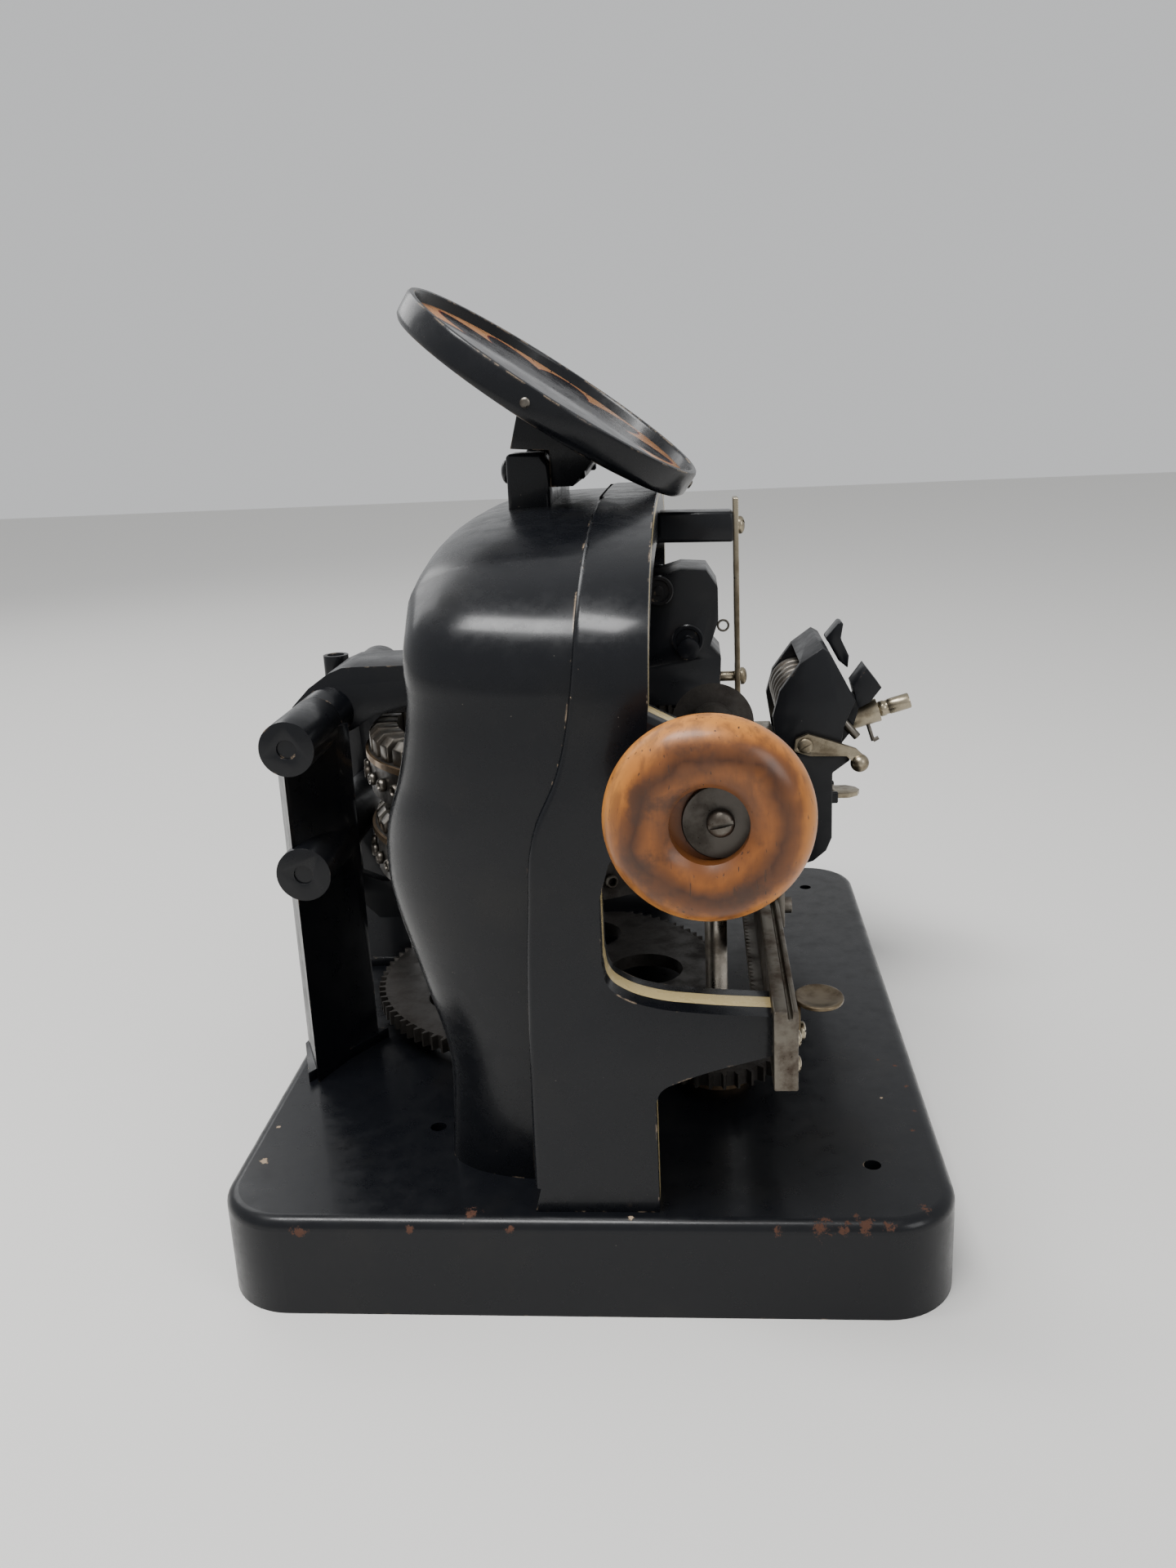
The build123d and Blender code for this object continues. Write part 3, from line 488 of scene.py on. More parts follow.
# flaws in the paint: each one's place, then its size
flaws = {
    "archChips": (((8.2, -190, 265.5), 1.9), ((7.6, -190, 261.5), 1.7), ((8.8, -190, 258.0), 1.5),
                  ((5.9, -190, 247.5), 1.2), ((21.5, -186, 283.5), 0.7)),
    "baseRust": (((-42, -191, 42), 4.2), ((-110, -196, 38), 3.8), ((-66, -196.5, 39), 2.2),
                 ((-26.5, -196.5, 39.5), 2.4), ((76, -196.5, 39.5), 2.8), ((93, -195.5, 40), 4.8),
                 ((101, -195.5, 40), 3.0), ((109, -195, 40.5), 4.6), ((118, -194.5, 40), 3.2),
                 ((106, -191, 42.8), 2.0), ((133, -186, 40), 4.4), ((138.4, -75, 42.8), 1.2),
                 ((140.6, -94, 42.8), 1.4), ((140.5, -115, 42.8), 1.8), ((137.5, -131, 42.8), 1.5),
                 ((131.3, -69.5, 42.8), 1.0)),
    "baseChips": (((-137, -155, 42.8), 2.6), ((-139, -128, 42.6), 1.4), ((20, -193, 42.8), 1.4),
                  ((128, -104, 42.8), 0.9)),
    "dialChips": (((-60, -40, 392), 1.0),),
}
archStripe = (0.913, 0.957, 11, enamelLook["stripe"])  # its two edges, where it starts, its colour

archPaint = enamel("archEnamel", flaws["archChips"], (), (archStripe,), True)
basePaint = enamel("baseEnamel", flaws["baseChips"], flaws["baseRust"], gloss=0.85, wear=0.60, lumps=0.7)
partPaint = enamel("partEnamel", gloss=0.85, wear=0.58)
dialPaint = enamel("dialEnamel", flaws["dialChips"], wear=0.50)
dullPaint = enamel("innerEnamel", gloss=0.62, wear=0.60)
nickel = metal("nickelPlate", (0.34, 0.295, 0.215), 0.32, (0.13, 0.10, 0.062), 0.8)
brightSteel = metal("wornSteel", (0.30, 0.275, 0.24), 0.33, (0.10, 0.082, 0.062), 0.8)
darkSteel = metal("oiledSteel", (0.15, 0.138, 0.12), 0.38, (0.055, 0.042, 0.032), 0.8)
bareIron = metal("oiledIron", (0.060, 0.055, 0.050), 0.46, (0.025, 0.02, 0.017), 0.8,
                 metallic=0.8, strength=0.3)
bronze = metal("tarnishedBronze", (0.27, 0.19, 0.115), 0.42, (0.10, 0.068, 0.045), 0.8)
# darker, browner copy of the nickel plate, used on the paddle: tarnish, and painted shade for the paddle's
# shaded face
agedAndShadedPlate = metal("agedAndShadedPlate", (0.17, 0.135, 0.088), 0.36, (0.065, 0.045, 0.028), 0.85)
railSteel = metal("railSteel", (0.155, 0.140, 0.116), 0.42, (0.055, 0.037, 0.026), 0.85,
                  brushed=(1, 0.05, 1))
print("finishes made")


# arch: flat flange with arms, and the curved hood behind it

def archPoint(turn, inset):
    # outside or inside line of the crown, from the near side over to the far one
    half = arch["half"] - inset
    rise = arch["crown"] - inset - arch["shoulder"]
    c, n = math.cos(turn), max(0.0, math.sin(turn))
    swell = 2 / arch["power"]
    return -math.copysign(abs(c) ** swell, c) * half, arch["shoulder"] + rise * n ** swell


def crownHeight(y):
    share = max(0.0, 1 - (abs(y) / arch["half"]) ** arch["power"]) ** (1 / arch["power"])
    return arch["shoulder"] + (arch["crown"] - arch["shoulder"]) * share


def flangeRing():
    lines = []
    for inset in (0, arch["leg"]):
        half = arch["half"] - inset
        side = [(-half, z) for z in (arch["sunk"], 90, 150, 200)]
        top = [archPoint(math.pi * i / 72, inset) for i in range(73)]
        lines.append(side + top + [(-y, z) for y, z in reversed(side)])
    sections = []
    front, back = arch["front"], arch["back"]
    for (yo, zo), (yi, zi) in zip(*lines):
        sections.append([(back, yo, zo), (front, yo, zo), (front, yi, zi), (back, yi, zi)])
    return sweep("flange", sections)


def curveThrough(points, share):
    # even, rounded run through the points
    line = bpy.data.curves.new("line", "CURVE")
    line.dimensions = "3D"
    line.resolution_u = share
    spline = line.splines.new("BEZIER")
    spline.bezier_points.add(len(points) - 1)
    for point, (x, z) in zip(spline.bezier_points, points):
        point.co = (x, 0, z)
        point.handle_left_type = point.handle_right_type = "AUTO"
    holder = bpy.data.objects.new("line", line)
    bpy.context.scene.collection.objects.link(holder)
    mesh = bpy.data.meshes.new_from_object(holder)
    found = [(v.co.x, v.co.z) for v in mesh.vertices]
    bpy.data.objects.remove(holder)
    bpy.data.meshes.remove(mesh)
    return found


def roundRear(piece, width):
    # the flange's back corner, the only outside one short of this x, is rounder than the rest
    furthest = 11.5
    editAll(piece)
    bpy.ops.mesh.select_all(action="DESELECT")
    mesh = bmesh.from_edit_mesh(piece.data)
    for edge in mesh.edges:
        spots = [vertex.co / mm for vertex in edge.verts]
        outside = all(abs(v.y) > arch["half"] - 0.1 or v.z > crownHeight(v.y) - 0.3 for v in spots)
        edge.select = outside and all(v.x < furthest and v.z > 44 for v in spots)
    bmesh.update_edit_mesh(piece.data)
    bpy.ops.mesh.bevel(offset=width * mm, segments=4, affect="EDGES")
    done()
    turnOut(piece)


rearLine = ((9.7, 312), (8.2, 280), (5.3, 246), (-0.3, 220), (-10.4, 196), (-13.5, 166),
            (-15, 141), (-16.4, 90), (-17, 42.8))
underLine = ((31.3, 90), (33.3, 95), (40.3, 99), (75, 110))
throatLine = ((75, 125.8), (48, 127.6), (31, 130), (20, 134.3), (15, 138.8), (13, 147.8))
faceLine = ((13, 172), (17, 186), (29.3, 204), (32.8, 242), (34.4, 307.5))
flangeShape = curveThrough(rearLine, 5) + [(31.3, 42.8)] + curveThrough(underLine, 6)
flangeShape += curveThrough(throatLine, 6) + list(faceLine)

flange = flangeRing()
cutter = plate("cutter", flangeShape, -200, 200)
useModifier(flange, "BOOLEAN", object=cutter, operation="INTERSECT", solver="EXACT")
bpy.data.objects.remove(cutter)
turnOut(flange)
webShape = [(19, 182), (50.4, 198), (68.4, 215), (52.4, 230), (29.3, 242), (21, 242)]
web = plate("web", webShape, -189.7, -168.3)
roundRear(flange, arch["backEdge"])
soften(flange, arch["edge"], 3, 38)
soften(web, 2.4, 3)

# up the leg: height, crease, free edge, step at the crease, depth
stations = ((42.8, -17, -57, 22, 23), (90, -16, -55, 17, 28), (128, -15, -64, 12, 33),
            (166, -13, -73, 7, 38), (190, -11, -72, 4, 40), (212, -3, -65, 3, 41),
            (241, 4.5, -59, 3, 40), (252, 5.2, -59, 3, 39))
# the same at the top of the leg and over the crown, where it is shallower and squarer
hoodLook = {
    "wall": 7, "lap": 4, "squareFrom": 190, "edge": -59,
    "legTop": {"crease": 5.2, "step": 3, "depth": 39, "square": 2.8},
    "crown": {"crease": 8, "step": 2.4, "depth": 27, "square": 3.6},
}


def between(z):
    # rounded run of the hood's crease, edge, step and depth up the leg
    last = len(stations) - 1
    for i in range(last):
        if stations[i][0] <= z <= stations[i + 1][0]:
            break
    low, high = stations[i], stations[i + 1]
    before, after = stations[max(0, i - 1)], stations[min(last, i + 2)]
    span = high[0] - low[0]
    t = (z - low[0]) / span
    values = []
    for k in range(1, 5):
        leave = (high[k] - before[k]) / (high[0] - before[0]) * span
        arrive = (after[k] - low[k]) / (after[0] - low[0]) * span
        values.append((2 * t ** 3 - 3 * t ** 2 + 1) * low[k] + (t ** 3 - 2 * t ** 2 + t) * leave
                      + (3 * t ** 2 - 2 * t ** 3) * high[k] + (t ** 3 - t ** 2) * arrive)
    return values


def oval(value, square):
    return max(0.0, value) ** (2 / square)


def hoodSection(y, z, turn, crease, edge, step, depth, square=2.0):
    # band of metal seen end on: outer quarter oval, rounded free edge, inner face
    start, wall = crease + hoodLook["lap"], hoodLook["wall"]
    reach = start - edge
    points = []
    for i in range(15):
        a = math.radians(90 * i / 14)
        points.append((start - reach * oval(math.sin(a), square),
                       -step - depth * (1 - oval(math.cos(a), square))))
    for a in (35, 70, 110, 145):
        rim = math.radians(a)
        points.append((edge + wall / 2 - wall / 2 * math.cos(rim), -step - depth - 1.6 * math.sin(rim)))
    for i in range(13):
        a = math.radians(90 * (12 - i) / 12)
        points.append((start - (reach - wall) * oval(math.sin(a), square),
                       -step - wall - (depth - wall) * (1 - oval(math.cos(a), square))))
    outY, outZ = -math.cos(turn), math.sin(turn)
    return [(x, y + outY * h, z + outZ * h) for x, h in points]


def shoulderPoint(turn):
    near, far = 20.0, 90.0
    for _ in range(30):
        reach = (near + far) / 2
        y, z = arch["bend"][0] - reach * math.cos(turn), arch["bend"][1] + reach * math.sin(turn)
        inside = y > -arch["half"] and z < crownHeight(y)
        near, far = (reach, far) if inside else (near, reach)
    return y, z


def hoodRun():
    sections = []
    foot, top, squareFrom = arch["foot"], arch["bend"][1], hoodLook["squareFrom"]
    legTop, crown = hoodLook["legTop"], hoodLook["crown"]
    for i in range(41):
        z = foot + (top - foot) * i / 40
        square = 2 + (legTop["square"] - 2) * max(0, (z - squareFrom) / (top - squareFrom))
        sections.append(hoodSection(-arch["half"], z, 0, *between(z), square))
    for i in range(1, 19):
        turn = math.radians(5 * i)
        y, z = shoulderPoint(turn)
        mixed = {key: legTop[key] + (crown[key] - legTop[key]) * i / 18 for key in legTop}
        sections.append(hoodSection(y, z, turn, mixed["crease"], hoodLook["edge"], mixed["step"],
                                    mixed["depth"], mixed["square"]))
    for i in range(1, 9):
        y, share = arch["bend"][0] * (1 - i / 8), i / 8
        sections.append(hoodSection(y, crownHeight(y), math.pi / 2, crown["crease"] + share,
                                    hoodLook["edge"] + 0.5 * share, crown["step"],
                                    crown["depth"], crown["square"]))
    far = [[(x, -y, z) for x, y, z in section] for section in reversed(sections[:-1])]
    return sections + far


def hoodWear(step, i):
    # bare line on the free edge, and another low down the crease of both legs
    if 14 <= i <= 16:
        return 0.78 if i == 15 else 0.5
    fromFoot = min(step, 133 - step)
    return 0.8 * (1 - min(1, fromFoot / 34)) if i == 1 else 0.0


hood = sweep("hood", hoodRun(), hoodWear)
smooth(hood, 55)
boss = turned("boss", [(5.2, 0), (14, 0), (15, 1), (15, 29), (14, 30), (5.2, 30)], 48)
smooth(boss, 40)
stand(boss, (56.4, -190, 215), (0, 1, 0))
archPiece = joinUp("archCasting", [flange, web, hood, boss])
finishPiece(archPiece, "frame", archPaint, "japanned_iron", "arch_frame")
print("arch made")


# wooden knob

knob = {"x": 56.4, "z": 215, "offset": 3.6, "face": -240, "ring": 22.0, "bar": 12.6,
        "outside": 34.6, "seat": -231.4, "seatRadius": 13.1, "grainTurn": 38}


def knobProfile():
    # seat for the washer, round front, round back, plain hub
    points = [(5.1, 10.6), (knob["seatRadius"], 10.6), (knob["seatRadius"], 6.2)]
    for i in range(33):
        a = math.radians(-136 + 302 * i / 32)
        points.append((knob["ring"] + knob["bar"] * math.cos(a), knob["bar"] * (1 + math.sin(a) * 0.98)))
    return points + [(9.8, 21.6), (9.3, 22.1), (5.1, 22.1)]


wood, tree, shader = newFinish("turnedBeech", (0.4, 0.19, 0.06), 0.0, 0.4,
                               Coat_Weight=0.14, Coat_Roughness=0.2, Specular_IOR_Level=0.32)
grainTurn = (0, math.radians(knob["grainTurn"]), 0)
middle = place(tree, offset=(-(knob["x"] - knob["offset"]) * mm, 0, -knob["z"] * mm))
grain = noise(tree, place(tree, turn=grainTurn, stretch=(1, 1, 0.16)), 210, 6, 0.6, 0.4)
cloud = noise(tree, place(tree, offset=(0.3, 0.1, 0)), 36, 4, 0.55)
split = tree.nodes.new("ShaderNodeSeparateXYZ")
tree.links.new(middle, split.inputs[0])
away = sums(tree, "SQRT", sums(tree, "ADD", sums(tree, "MULTIPLY", split.outputs["X"], split.outputs["X"]),
                               sums(tree, "MULTIPLY", split.outputs["Z"], split.outputs["Z"])), 0)
woodToneAndRimHighlight = tree.nodes.new("ShaderNodeValToRGB")
# from the hole out to the rim: the wood's tones, darker towards the hole, and paler out at the rim, partly
# the wood and partly a painted highlight
woodToneAndRimHighlightStops = ((0.0, (0.12, 0.042, 0.011)), (0.40, (0.15, 0.050, 0.012)), (0.52, (0.22, 0.074, 0.016)),
         (0.67, (0.050, 0.016, 0.005)), (0.80, (0.15, 0.050, 0.012)), (0.90, (0.37, 0.130, 0.021)),
         (1.0, (0.45, 0.170, 0.025)))
while len(woodToneAndRimHighlight.color_ramp.elements) < len(woodToneAndRimHighlightStops):
    woodToneAndRimHighlight.color_ramp.elements.new(0.5)
for element, (spot, tone) in zip(woodToneAndRimHighlight.color_ramp.elements, woodToneAndRimHighlightStops):
    element.position = spot
    element.color = (*tone, 1)
warped = sums(tree, "ADD", sums(tree, "DIVIDE", away, knob["outside"] * mm),
              sums(tree, "MULTIPLY", sums(tree, "SUBTRACT", cloud, 0.5), 0.5))
tree.links.new(warped, woodToneAndRimHighlight.inputs["Fac"])
colour = blendTo(tree, ramp(tree, grain, 0.42, 0.66, 0, 0.55), woodToneAndRimHighlight.outputs["Color"], (0.10, 0.036, 0.012))
handling = noise(tree, place(tree, offset=(0.07, 0, 0.02)), 52, 5, 0.65)
smudge = sums(tree, "MULTIPLY", ramp(tree, handling, 0.52, 0.68), ramp(tree, away, 0.033, 0.026))
colour = blendTo(tree, sums(tree, "MULTIPLY", smudge, 0.75), colour, (0.045, 0.020, 0.011))
pores = noise(tree, place(tree, turn=grainTurn, stretch=(1, 1, 0.22)), 820, 2, 0.5)
dashes = sums(tree, "MULTIPLY", ramp(tree, pores, 0.66, 0.72), ramp(tree, cloud, 0.40, 0.55))
colour = blendTo(tree, dashes, colour, (0.05, 0.022, 0.010))
tree.links.new(colour, shader.inputs["Base Color"])
tree.links.new(ramp(tree, cloud, 0.3, 0.7, 0.30, 0.52), shader.inputs["Roughness"])
relief(tree, shader, sums(tree, "SUBTRACT", sums(tree, "MULTIPLY", grain, 0.4), dashes), 0.35, 0.0003)

knobPiece = turned("woodKnob", knobProfile(), 96)
smooth(knobPiece, 45)
stand(knobPiece, (knob["x"] - knob["offset"], knob["face"], knob["z"]), (0, 1, 0))
finishPiece(knobPiece, "knob", wood, "knob_wood", "wood_knob")

washer = turned("knobWasher", [(3, 0), (12.1, 0), (12.5, 0.4), (12.5, 1.6), (12.1, 2), (3, 2)], 64)
smooth(washer, 40)
stand(washer, (knob["x"], knob["seat"], knob["z"]), (0, 1, 0))
washerSteel = metal("washerSteel", (0.075, 0.068, 0.060), 0.46, (0.04, 0.034, 0.028), 0.7)
finishPiece(washer, "knob", washerSteel, "nickel", "knob_washer")
knobScrew = slottedHead("knobScrew", (knob["x"], knob["seat"], knob["z"]), (0, -1, 0),
                        4.6, 4.4, 1.3, math.radians(12))
finishPiece(knobScrew, "knob", darkSteel, "nickel", "knob_screw")
print("knob made")


# index dial

dial = {"radius": 77.5, "depth": 14, "wall": 4, "slope": 34.6, "lean": 3.5, "x": -10.7, "lift": 6.2,
        "petals": 5.0, "petalReach": 0.0215, "petalFoot": 0.0463, "outline": 0.0478,
        "ticks": 40.0, "ticksFrom": 0.0655, "boltHeight": 317, "bolts": (-36, 36)}
slope, lean = math.radians(dial["slope"]), math.radians(dial["lean"])
dial["z"] = arch["crown"] + dial["lift"] + dial["radius"] * math.sin(slope)
dialTurn = Matrix.Rotation(slope, 3, "Y") @ Matrix.Rotation(lean, 3, "X")
dialUp = dialTurn @ Vector((0, 0, 1))
dialFace = Vector((dial["x"], 0, dial["z"]))


def inDial(piece, depth):
    piece.rotation_mode = "QUATERNION"
    piece.rotation_quaternion = dialTurn.to_quaternion()
    piece.location = (dialFace - dialUp * depth) * mm
    settle(piece)
    return piece


r = dial["radius"]
dishProfile = [(0, 0), (r - 5, 0), (r - 1.6, 0.6), (r - 0.3, 2.2), (r - 0.1, 4), (r - 0.1, 12.2),
               (r - 0.7, 13.5), (r - 1.8, 14), (r - 3.0, 13.7), (r - 3.9, 12.4), (r - 4.1, 5.4),
               (r - 5, 4.1), (0, 4)]
dish = turned("dialDish", dishProfile, 128)
smooth(dish, 40)
inDial(dish, dial["depth"])
finishPiece(dish, "frame", dialPaint, "japanned_iron", "dial_dish")

printed, tree, shader = newFinish("printedDial", (0.5, 0.25, 0.12), 0.0, 0.3,
                                  Coat_Weight=0.3, Coat_Roughness=0.1)
mapping = place(tree)  # turned back to lie flat, with the dial's middle at zero
turnBack = tree.nodes.new("ShaderNodeVectorRotate")
turnBack.rotation_type = "Y_AXIS"
turnBack.inputs["Angle"].default_value = -slope
turnBack.inputs["Center"].default_value = dialFace * mm
tree.links.new(mapping, turnBack.inputs["Vector"])
centred = tree.nodes.new("ShaderNodeVectorMath")
centred.operation = "SUBTRACT"
centred.inputs[1].default_value = dialFace * mm
leanBack = tree.nodes.new("ShaderNodeVectorRotate")
leanBack.rotation_type = "X_AXIS"
leanBack.inputs["Angle"].default_value = -lean
leanBack.inputs["Center"].default_value = dialFace * mm
tree.links.new(turnBack.outputs["Vector"], leanBack.inputs["Vector"])
tree.links.new(leanBack.outputs["Vector"], centred.inputs[0])
split = tree.nodes.new("ShaderNodeSeparateXYZ")
tree.links.new(centred.outputs["Vector"], split.inputs[0])
angle = sums(tree, "ARCTAN2", split.outputs["Y"], split.outputs["X"])
away = sums(tree, "SQRT", sums(tree, "ADD", sums(tree, "MULTIPLY", split.outputs["X"], split.outputs["X"]),
                               sums(tree, "MULTIPLY", split.outputs["Y"], split.outputs["Y"])), 0)
lobes = sums(tree, "ABSOLUTE", sums(tree, "SINE", sums(tree, "MULTIPLY", angle, dial["petals"]), 0), 0)
shape = sums(tree, "SUBTRACT", away, sums(tree, "MULTIPLY", lobes, dial["petalReach"]))
mottle = noise(tree, mapping, 60, 5, 0.6)
copper = blendTo(tree, ramp(tree, mottle, 0.4, 0.7), (0.60, 0.29, 0.125), (0.42, 0.19, 0.085))
spokes = sums(tree, "COSINE", sums(tree, "MULTIPLY", angle, dial["ticks"]), 0)
ticks = sums(tree, "MULTIPLY", ramp(tree, spokes, 0.975, 0.985),
             ramp(tree, away, dial["ticksFrom"], dial["ticksFrom"] + 0.0005))
copper = blendTo(tree, ticks, copper, (0.03, 0.02, 0.02))
outlined = blendTo(tree, ramp(tree, shape, dial["outline"], dial["outline"] - 0.0006), copper,
                   (0.16, 0.020, 0.018))
printedColour = blendTo(tree, ramp(tree, shape, dial["petalFoot"], dial["petalFoot"] - 0.0005), outlined,
                        (0.012, 0.011, 0.014))
rubbed = ramp(tree, noise(tree, mapping, 130, 5, 0.7), 0.66, 0.72)
printedColour = blendTo(tree, rubbed, printedColour, (0.16, 0.12, 0.09))
tree.links.new(printedColour, shader.inputs["Base Color"])
tree.links.new(ramp(tree, mottle, 0.3, 0.7, 0.16, 0.34), shader.inputs["Roughness"])
relief(tree, shader, mottle, 0.15, 0.0004)
insert = turned("dialInsert", [(0, 0), (73.2, 0), (73.2, 4.4), (72.6, 4.8), (0, 4.8)], 128)
smooth(insert, 40)
inDial(insert, dial["depth"] - dial["wall"])
finishPiece(insert, "frame", printed, "dial_plate", "dial_insert")

rivets = []
for i in range(4):
    rivet = turned("rivet", [(0, -0.4), (2.2, -0.4), (2.1, 0.3), (1.5, 0.75), (0, 0.95)], 24)
    turn = math.radians(-90 + 90 * i)
    out = dialTurn @ Vector((math.cos(turn), math.sin(turn), 0))
    spot = dialFace - dialUp * dial["depth"] / 2 + out * (dial["radius"] - 0.1)
    stand(rivet, spot, out)
    rivets.append(rivet)
finishPiece(joinUp("dialRivets", rivets), "frame", darkSteel, "nickel", "dial_rivets")

lugShape = [(-12, 310), (-2, 310), (8, 322), (16, 328), (16, 352), (-26, 352), (-24, 346),
            (-29, 327), (-12, 325.6)]
lug = plate("dialLug", lugShape, -44, 44)
editAll(lug)
dialBack = dialFace - dialUp * dial["depth"]
bpy.ops.mesh.bisect(plane_co=dialBack * mm, plane_no=dialUp, clear_outer=True, use_fill=True)
done()
turnOut(lug)
soften(lug, 1.2, 2)
finishPiece(lug, "frame", dialPaint, "japanned_iron", "dial_lug")
for node, width, finish in (("dial_bracket", 2.2, dialPaint), ("top_bracket", 1.4, partPaint)):
    finishPiece(castCopy(node, width), "frame", finish, "japanned_iron", node)
bolts = []
for y in dial["bolts"]:
    bolts.append(slottedHead("bolt", (-30.5, y, dial["boltHeight"]), (-1, 0, 0), 5.2, 4.0, 1.0, 0.5))
    nut = turned("nut", [(0, 0), (4.4, 0), (4.4, 3.2), (3.6, 4), (0, 4)], 6)
    stand(nut, (-1, y, dial["boltHeight"]), (1, 0, 0))
    bolts.append(nut)
finishPiece(joinUp("dialBolts", bolts), "frame", partPaint, "japanned_iron", "dial_bolts")
print("dial made")


# rear posts, beam and its fittings

# node, how far its corners are rounded, body, paint, slot
castings = (
    ("rear_post_left", 2.0, "frame", partPaint, "japanned_iron"),
    ("rear_post_right", 2.0, "frame", partPaint, "japanned_iron"),
    ("press_beam", 2.0, "beam", partPaint, "japanned_iron"),
    ("die_lever", 1.4, "lever", dullPaint, "bare_iron"),
    ("knob_bracket", 1.6, "frame", partPaint, "japanned_iron"),
    ("beam_cup", 0.6, "beam", partPaint, "japanned_iron"),
    ("press_hammer", 1.0, "beam", partPaint, "bare_iron"),
    ("die_anvil", 0.8, "lever", dullPaint, "bare_iron"),
)
for node, width, body, paint, slotName in castings:
    finishPiece(castCopy(node, width), body, paint, slotName, node)

# plugs: x, z and radius of each; ring: its middle and radius
head = {"flank": 21, "plugs": ((46.5, 236.1, 7.5), (33.5, 259.6, 7.0)),
        "ring": (63.4, -12, 241), "ringRadius": 2.7, "stud": 214}
plugs = []
for x, z, size in head["plugs"]:
    for side in (-1, 1):
        profile = [(0, -1), (size, -1), (size, 0.9), (size - 0.5, 1.3), (size - 1.8, 1.3),
                   (size - 2.2, 0.7), (2.4, 0.7), (2.0, 1.1), (0, 1.2)]
        plug = turned("plug", profile, 40)
        smooth(plug, 35)
        plugs.append(stand(plug, (x, side * head["flank"], z), (0, side, 0)))
finishPiece(joinUp("headPlugs", plugs), "beam", partPaint, "japanned_iron")
ringX, ringY, ringZ = head["ring"]
bend = [(ringX + head["ringRadius"] * math.cos(math.tau * i / 8), ringY,
         ringZ + head["ringRadius"] * math.sin(math.tau * i / 8)) for i in range(8)]
ring = wire("headRing", bend, 0.55, True)
finishPiece(ring, "beam", darkSteel, "nickel", "head_ring")
shank = roundBar("shank", (56, 0, head["stud"]), (72.3, 0, head["stud"]), 2.4, 0.2)
studHead = slottedHead("studHead", (71.8, 0, head["stud"]), (1, 0, 0), 4.2, 3.0, 0.9, 0.3)
stud = joinUp("headStud", [shank, studHead])
finishPiece(stud, "beam", nickel, "nickel", "head_stud")
print("beam made")


# type wheels

wheel = {"x": -29, "radius": 84, "count": 40, "blockInner": 69, "blockOuter": 83, "blockHalf": 4}


def roundTheSpindle(name, one):
    count = wheel["count"]
    toSpindle = Matrix.Translation((wheel["x"] * mm, 0, 0))
    copies = [one]
    for i in range(1, count):
        copied = twin(one)
        turn = Matrix.Rotation(math.tau * i / count, 4, "Z")
        copied.data.transform(toSpindle @ turn @ toSpindle.inverted())
        copies.append(copied)
    return joinUp(name, copies)


def typeBlocks(name, low, high):
    inner, outer = wheel["blockInner"], wheel["blockOuter"]
    shape = [(inner, low), (outer, low), (outer, high - 3.5), (outer - 1.2, high - 2.6),
             (outer - 4, high), (inner, high)]
    placed = [(x + wheel["x"], z) for x, z in shape]
    block = plate("block", placed, -wheel["blockHalf"], wheel["blockHalf"])
    soften(block, 0.5, 2)
    return roundTheSpindle(name, block)


def rimEyelets(name, z):
    # rolled ring on a short hollow pin
    loop = [(1.9, 0), (2.7, 0), (3.2, 0.5), (3.2, 1.6), (3.0, 2.6), (2.6, 3.1), (2.1, 3.1),
            (1.75, 2.6), (1.7, 1.0)]
    eyelet = turned("eyelet", loop, 18)
    smooth(eyelet, 50)
    stand(eyelet, (wheel["radius"] + wheel["x"], 0, z), (1, 0, 0))
    return roundTheSpindle(name, eyelet)


finishPiece(typeBlocks("punchBlocks", 188, 199), "wheels", darkSteel, "dark_steel", "punch_heads")
finishPiece(typeBlocks("dieBlocks", 150, 158), "wheels", darkSteel, "dark_steel", "die_heads")
finishPiece(rimEyelets("punchEyelets", 177), "wheels", darkSteel, "dark_steel", "punch_eyelets")
finishPiece(rimEyelets("dieEyelets", 137), "wheels", darkSteel, "dark_steel", "die_eyelets")
print("wheels made")


# rail, stops and paddle

rail = {"face": 84, "screws": (-184, 184), "screwHeights": (103.5, 114), "pivotY": -172, "pivotZ": 111}
for node, width, finish, slotName in (("rail_bar", 0.7, railSteel, "dark_steel"),
                                      ("margin_stops", 0.5, darkSteel, "dark_steel"),
                                      ("guide_strip", 0.35, nickel, "nickel")):
    finishPiece(castCopy(node, width), "frame", finish, slotName, node)

screws = [slottedHead("screw", (rail["face"], y, z), (1, 0, 0), 3.2, 2.2, 0.8, 0.4 + y)
          for y in rail["screws"] for z in rail["screwHeights"]]
screws.append(slottedHead("stripScrew", (71.4, 0, 286.5), (1, 0, 0), 4.2, 3.2, 1.0, 0.9))
pivot = Vector((rail["face"], rail["pivotY"], rail["pivotZ"]))
pivotEnd = pivot + Vector((2.8, 0, 0))
screws.append(roundBar("paddlePin", pivot, pivotEnd, 2, 0.1))
screws.append(slottedHead("paddleScrew", pivotEnd, (1, 0, 0), 3.6, 2.0, 0.8, 1.2))
finishPiece(joinUp("frameScrews", screws), "frame", nickel, "nickel", "frame_screws")

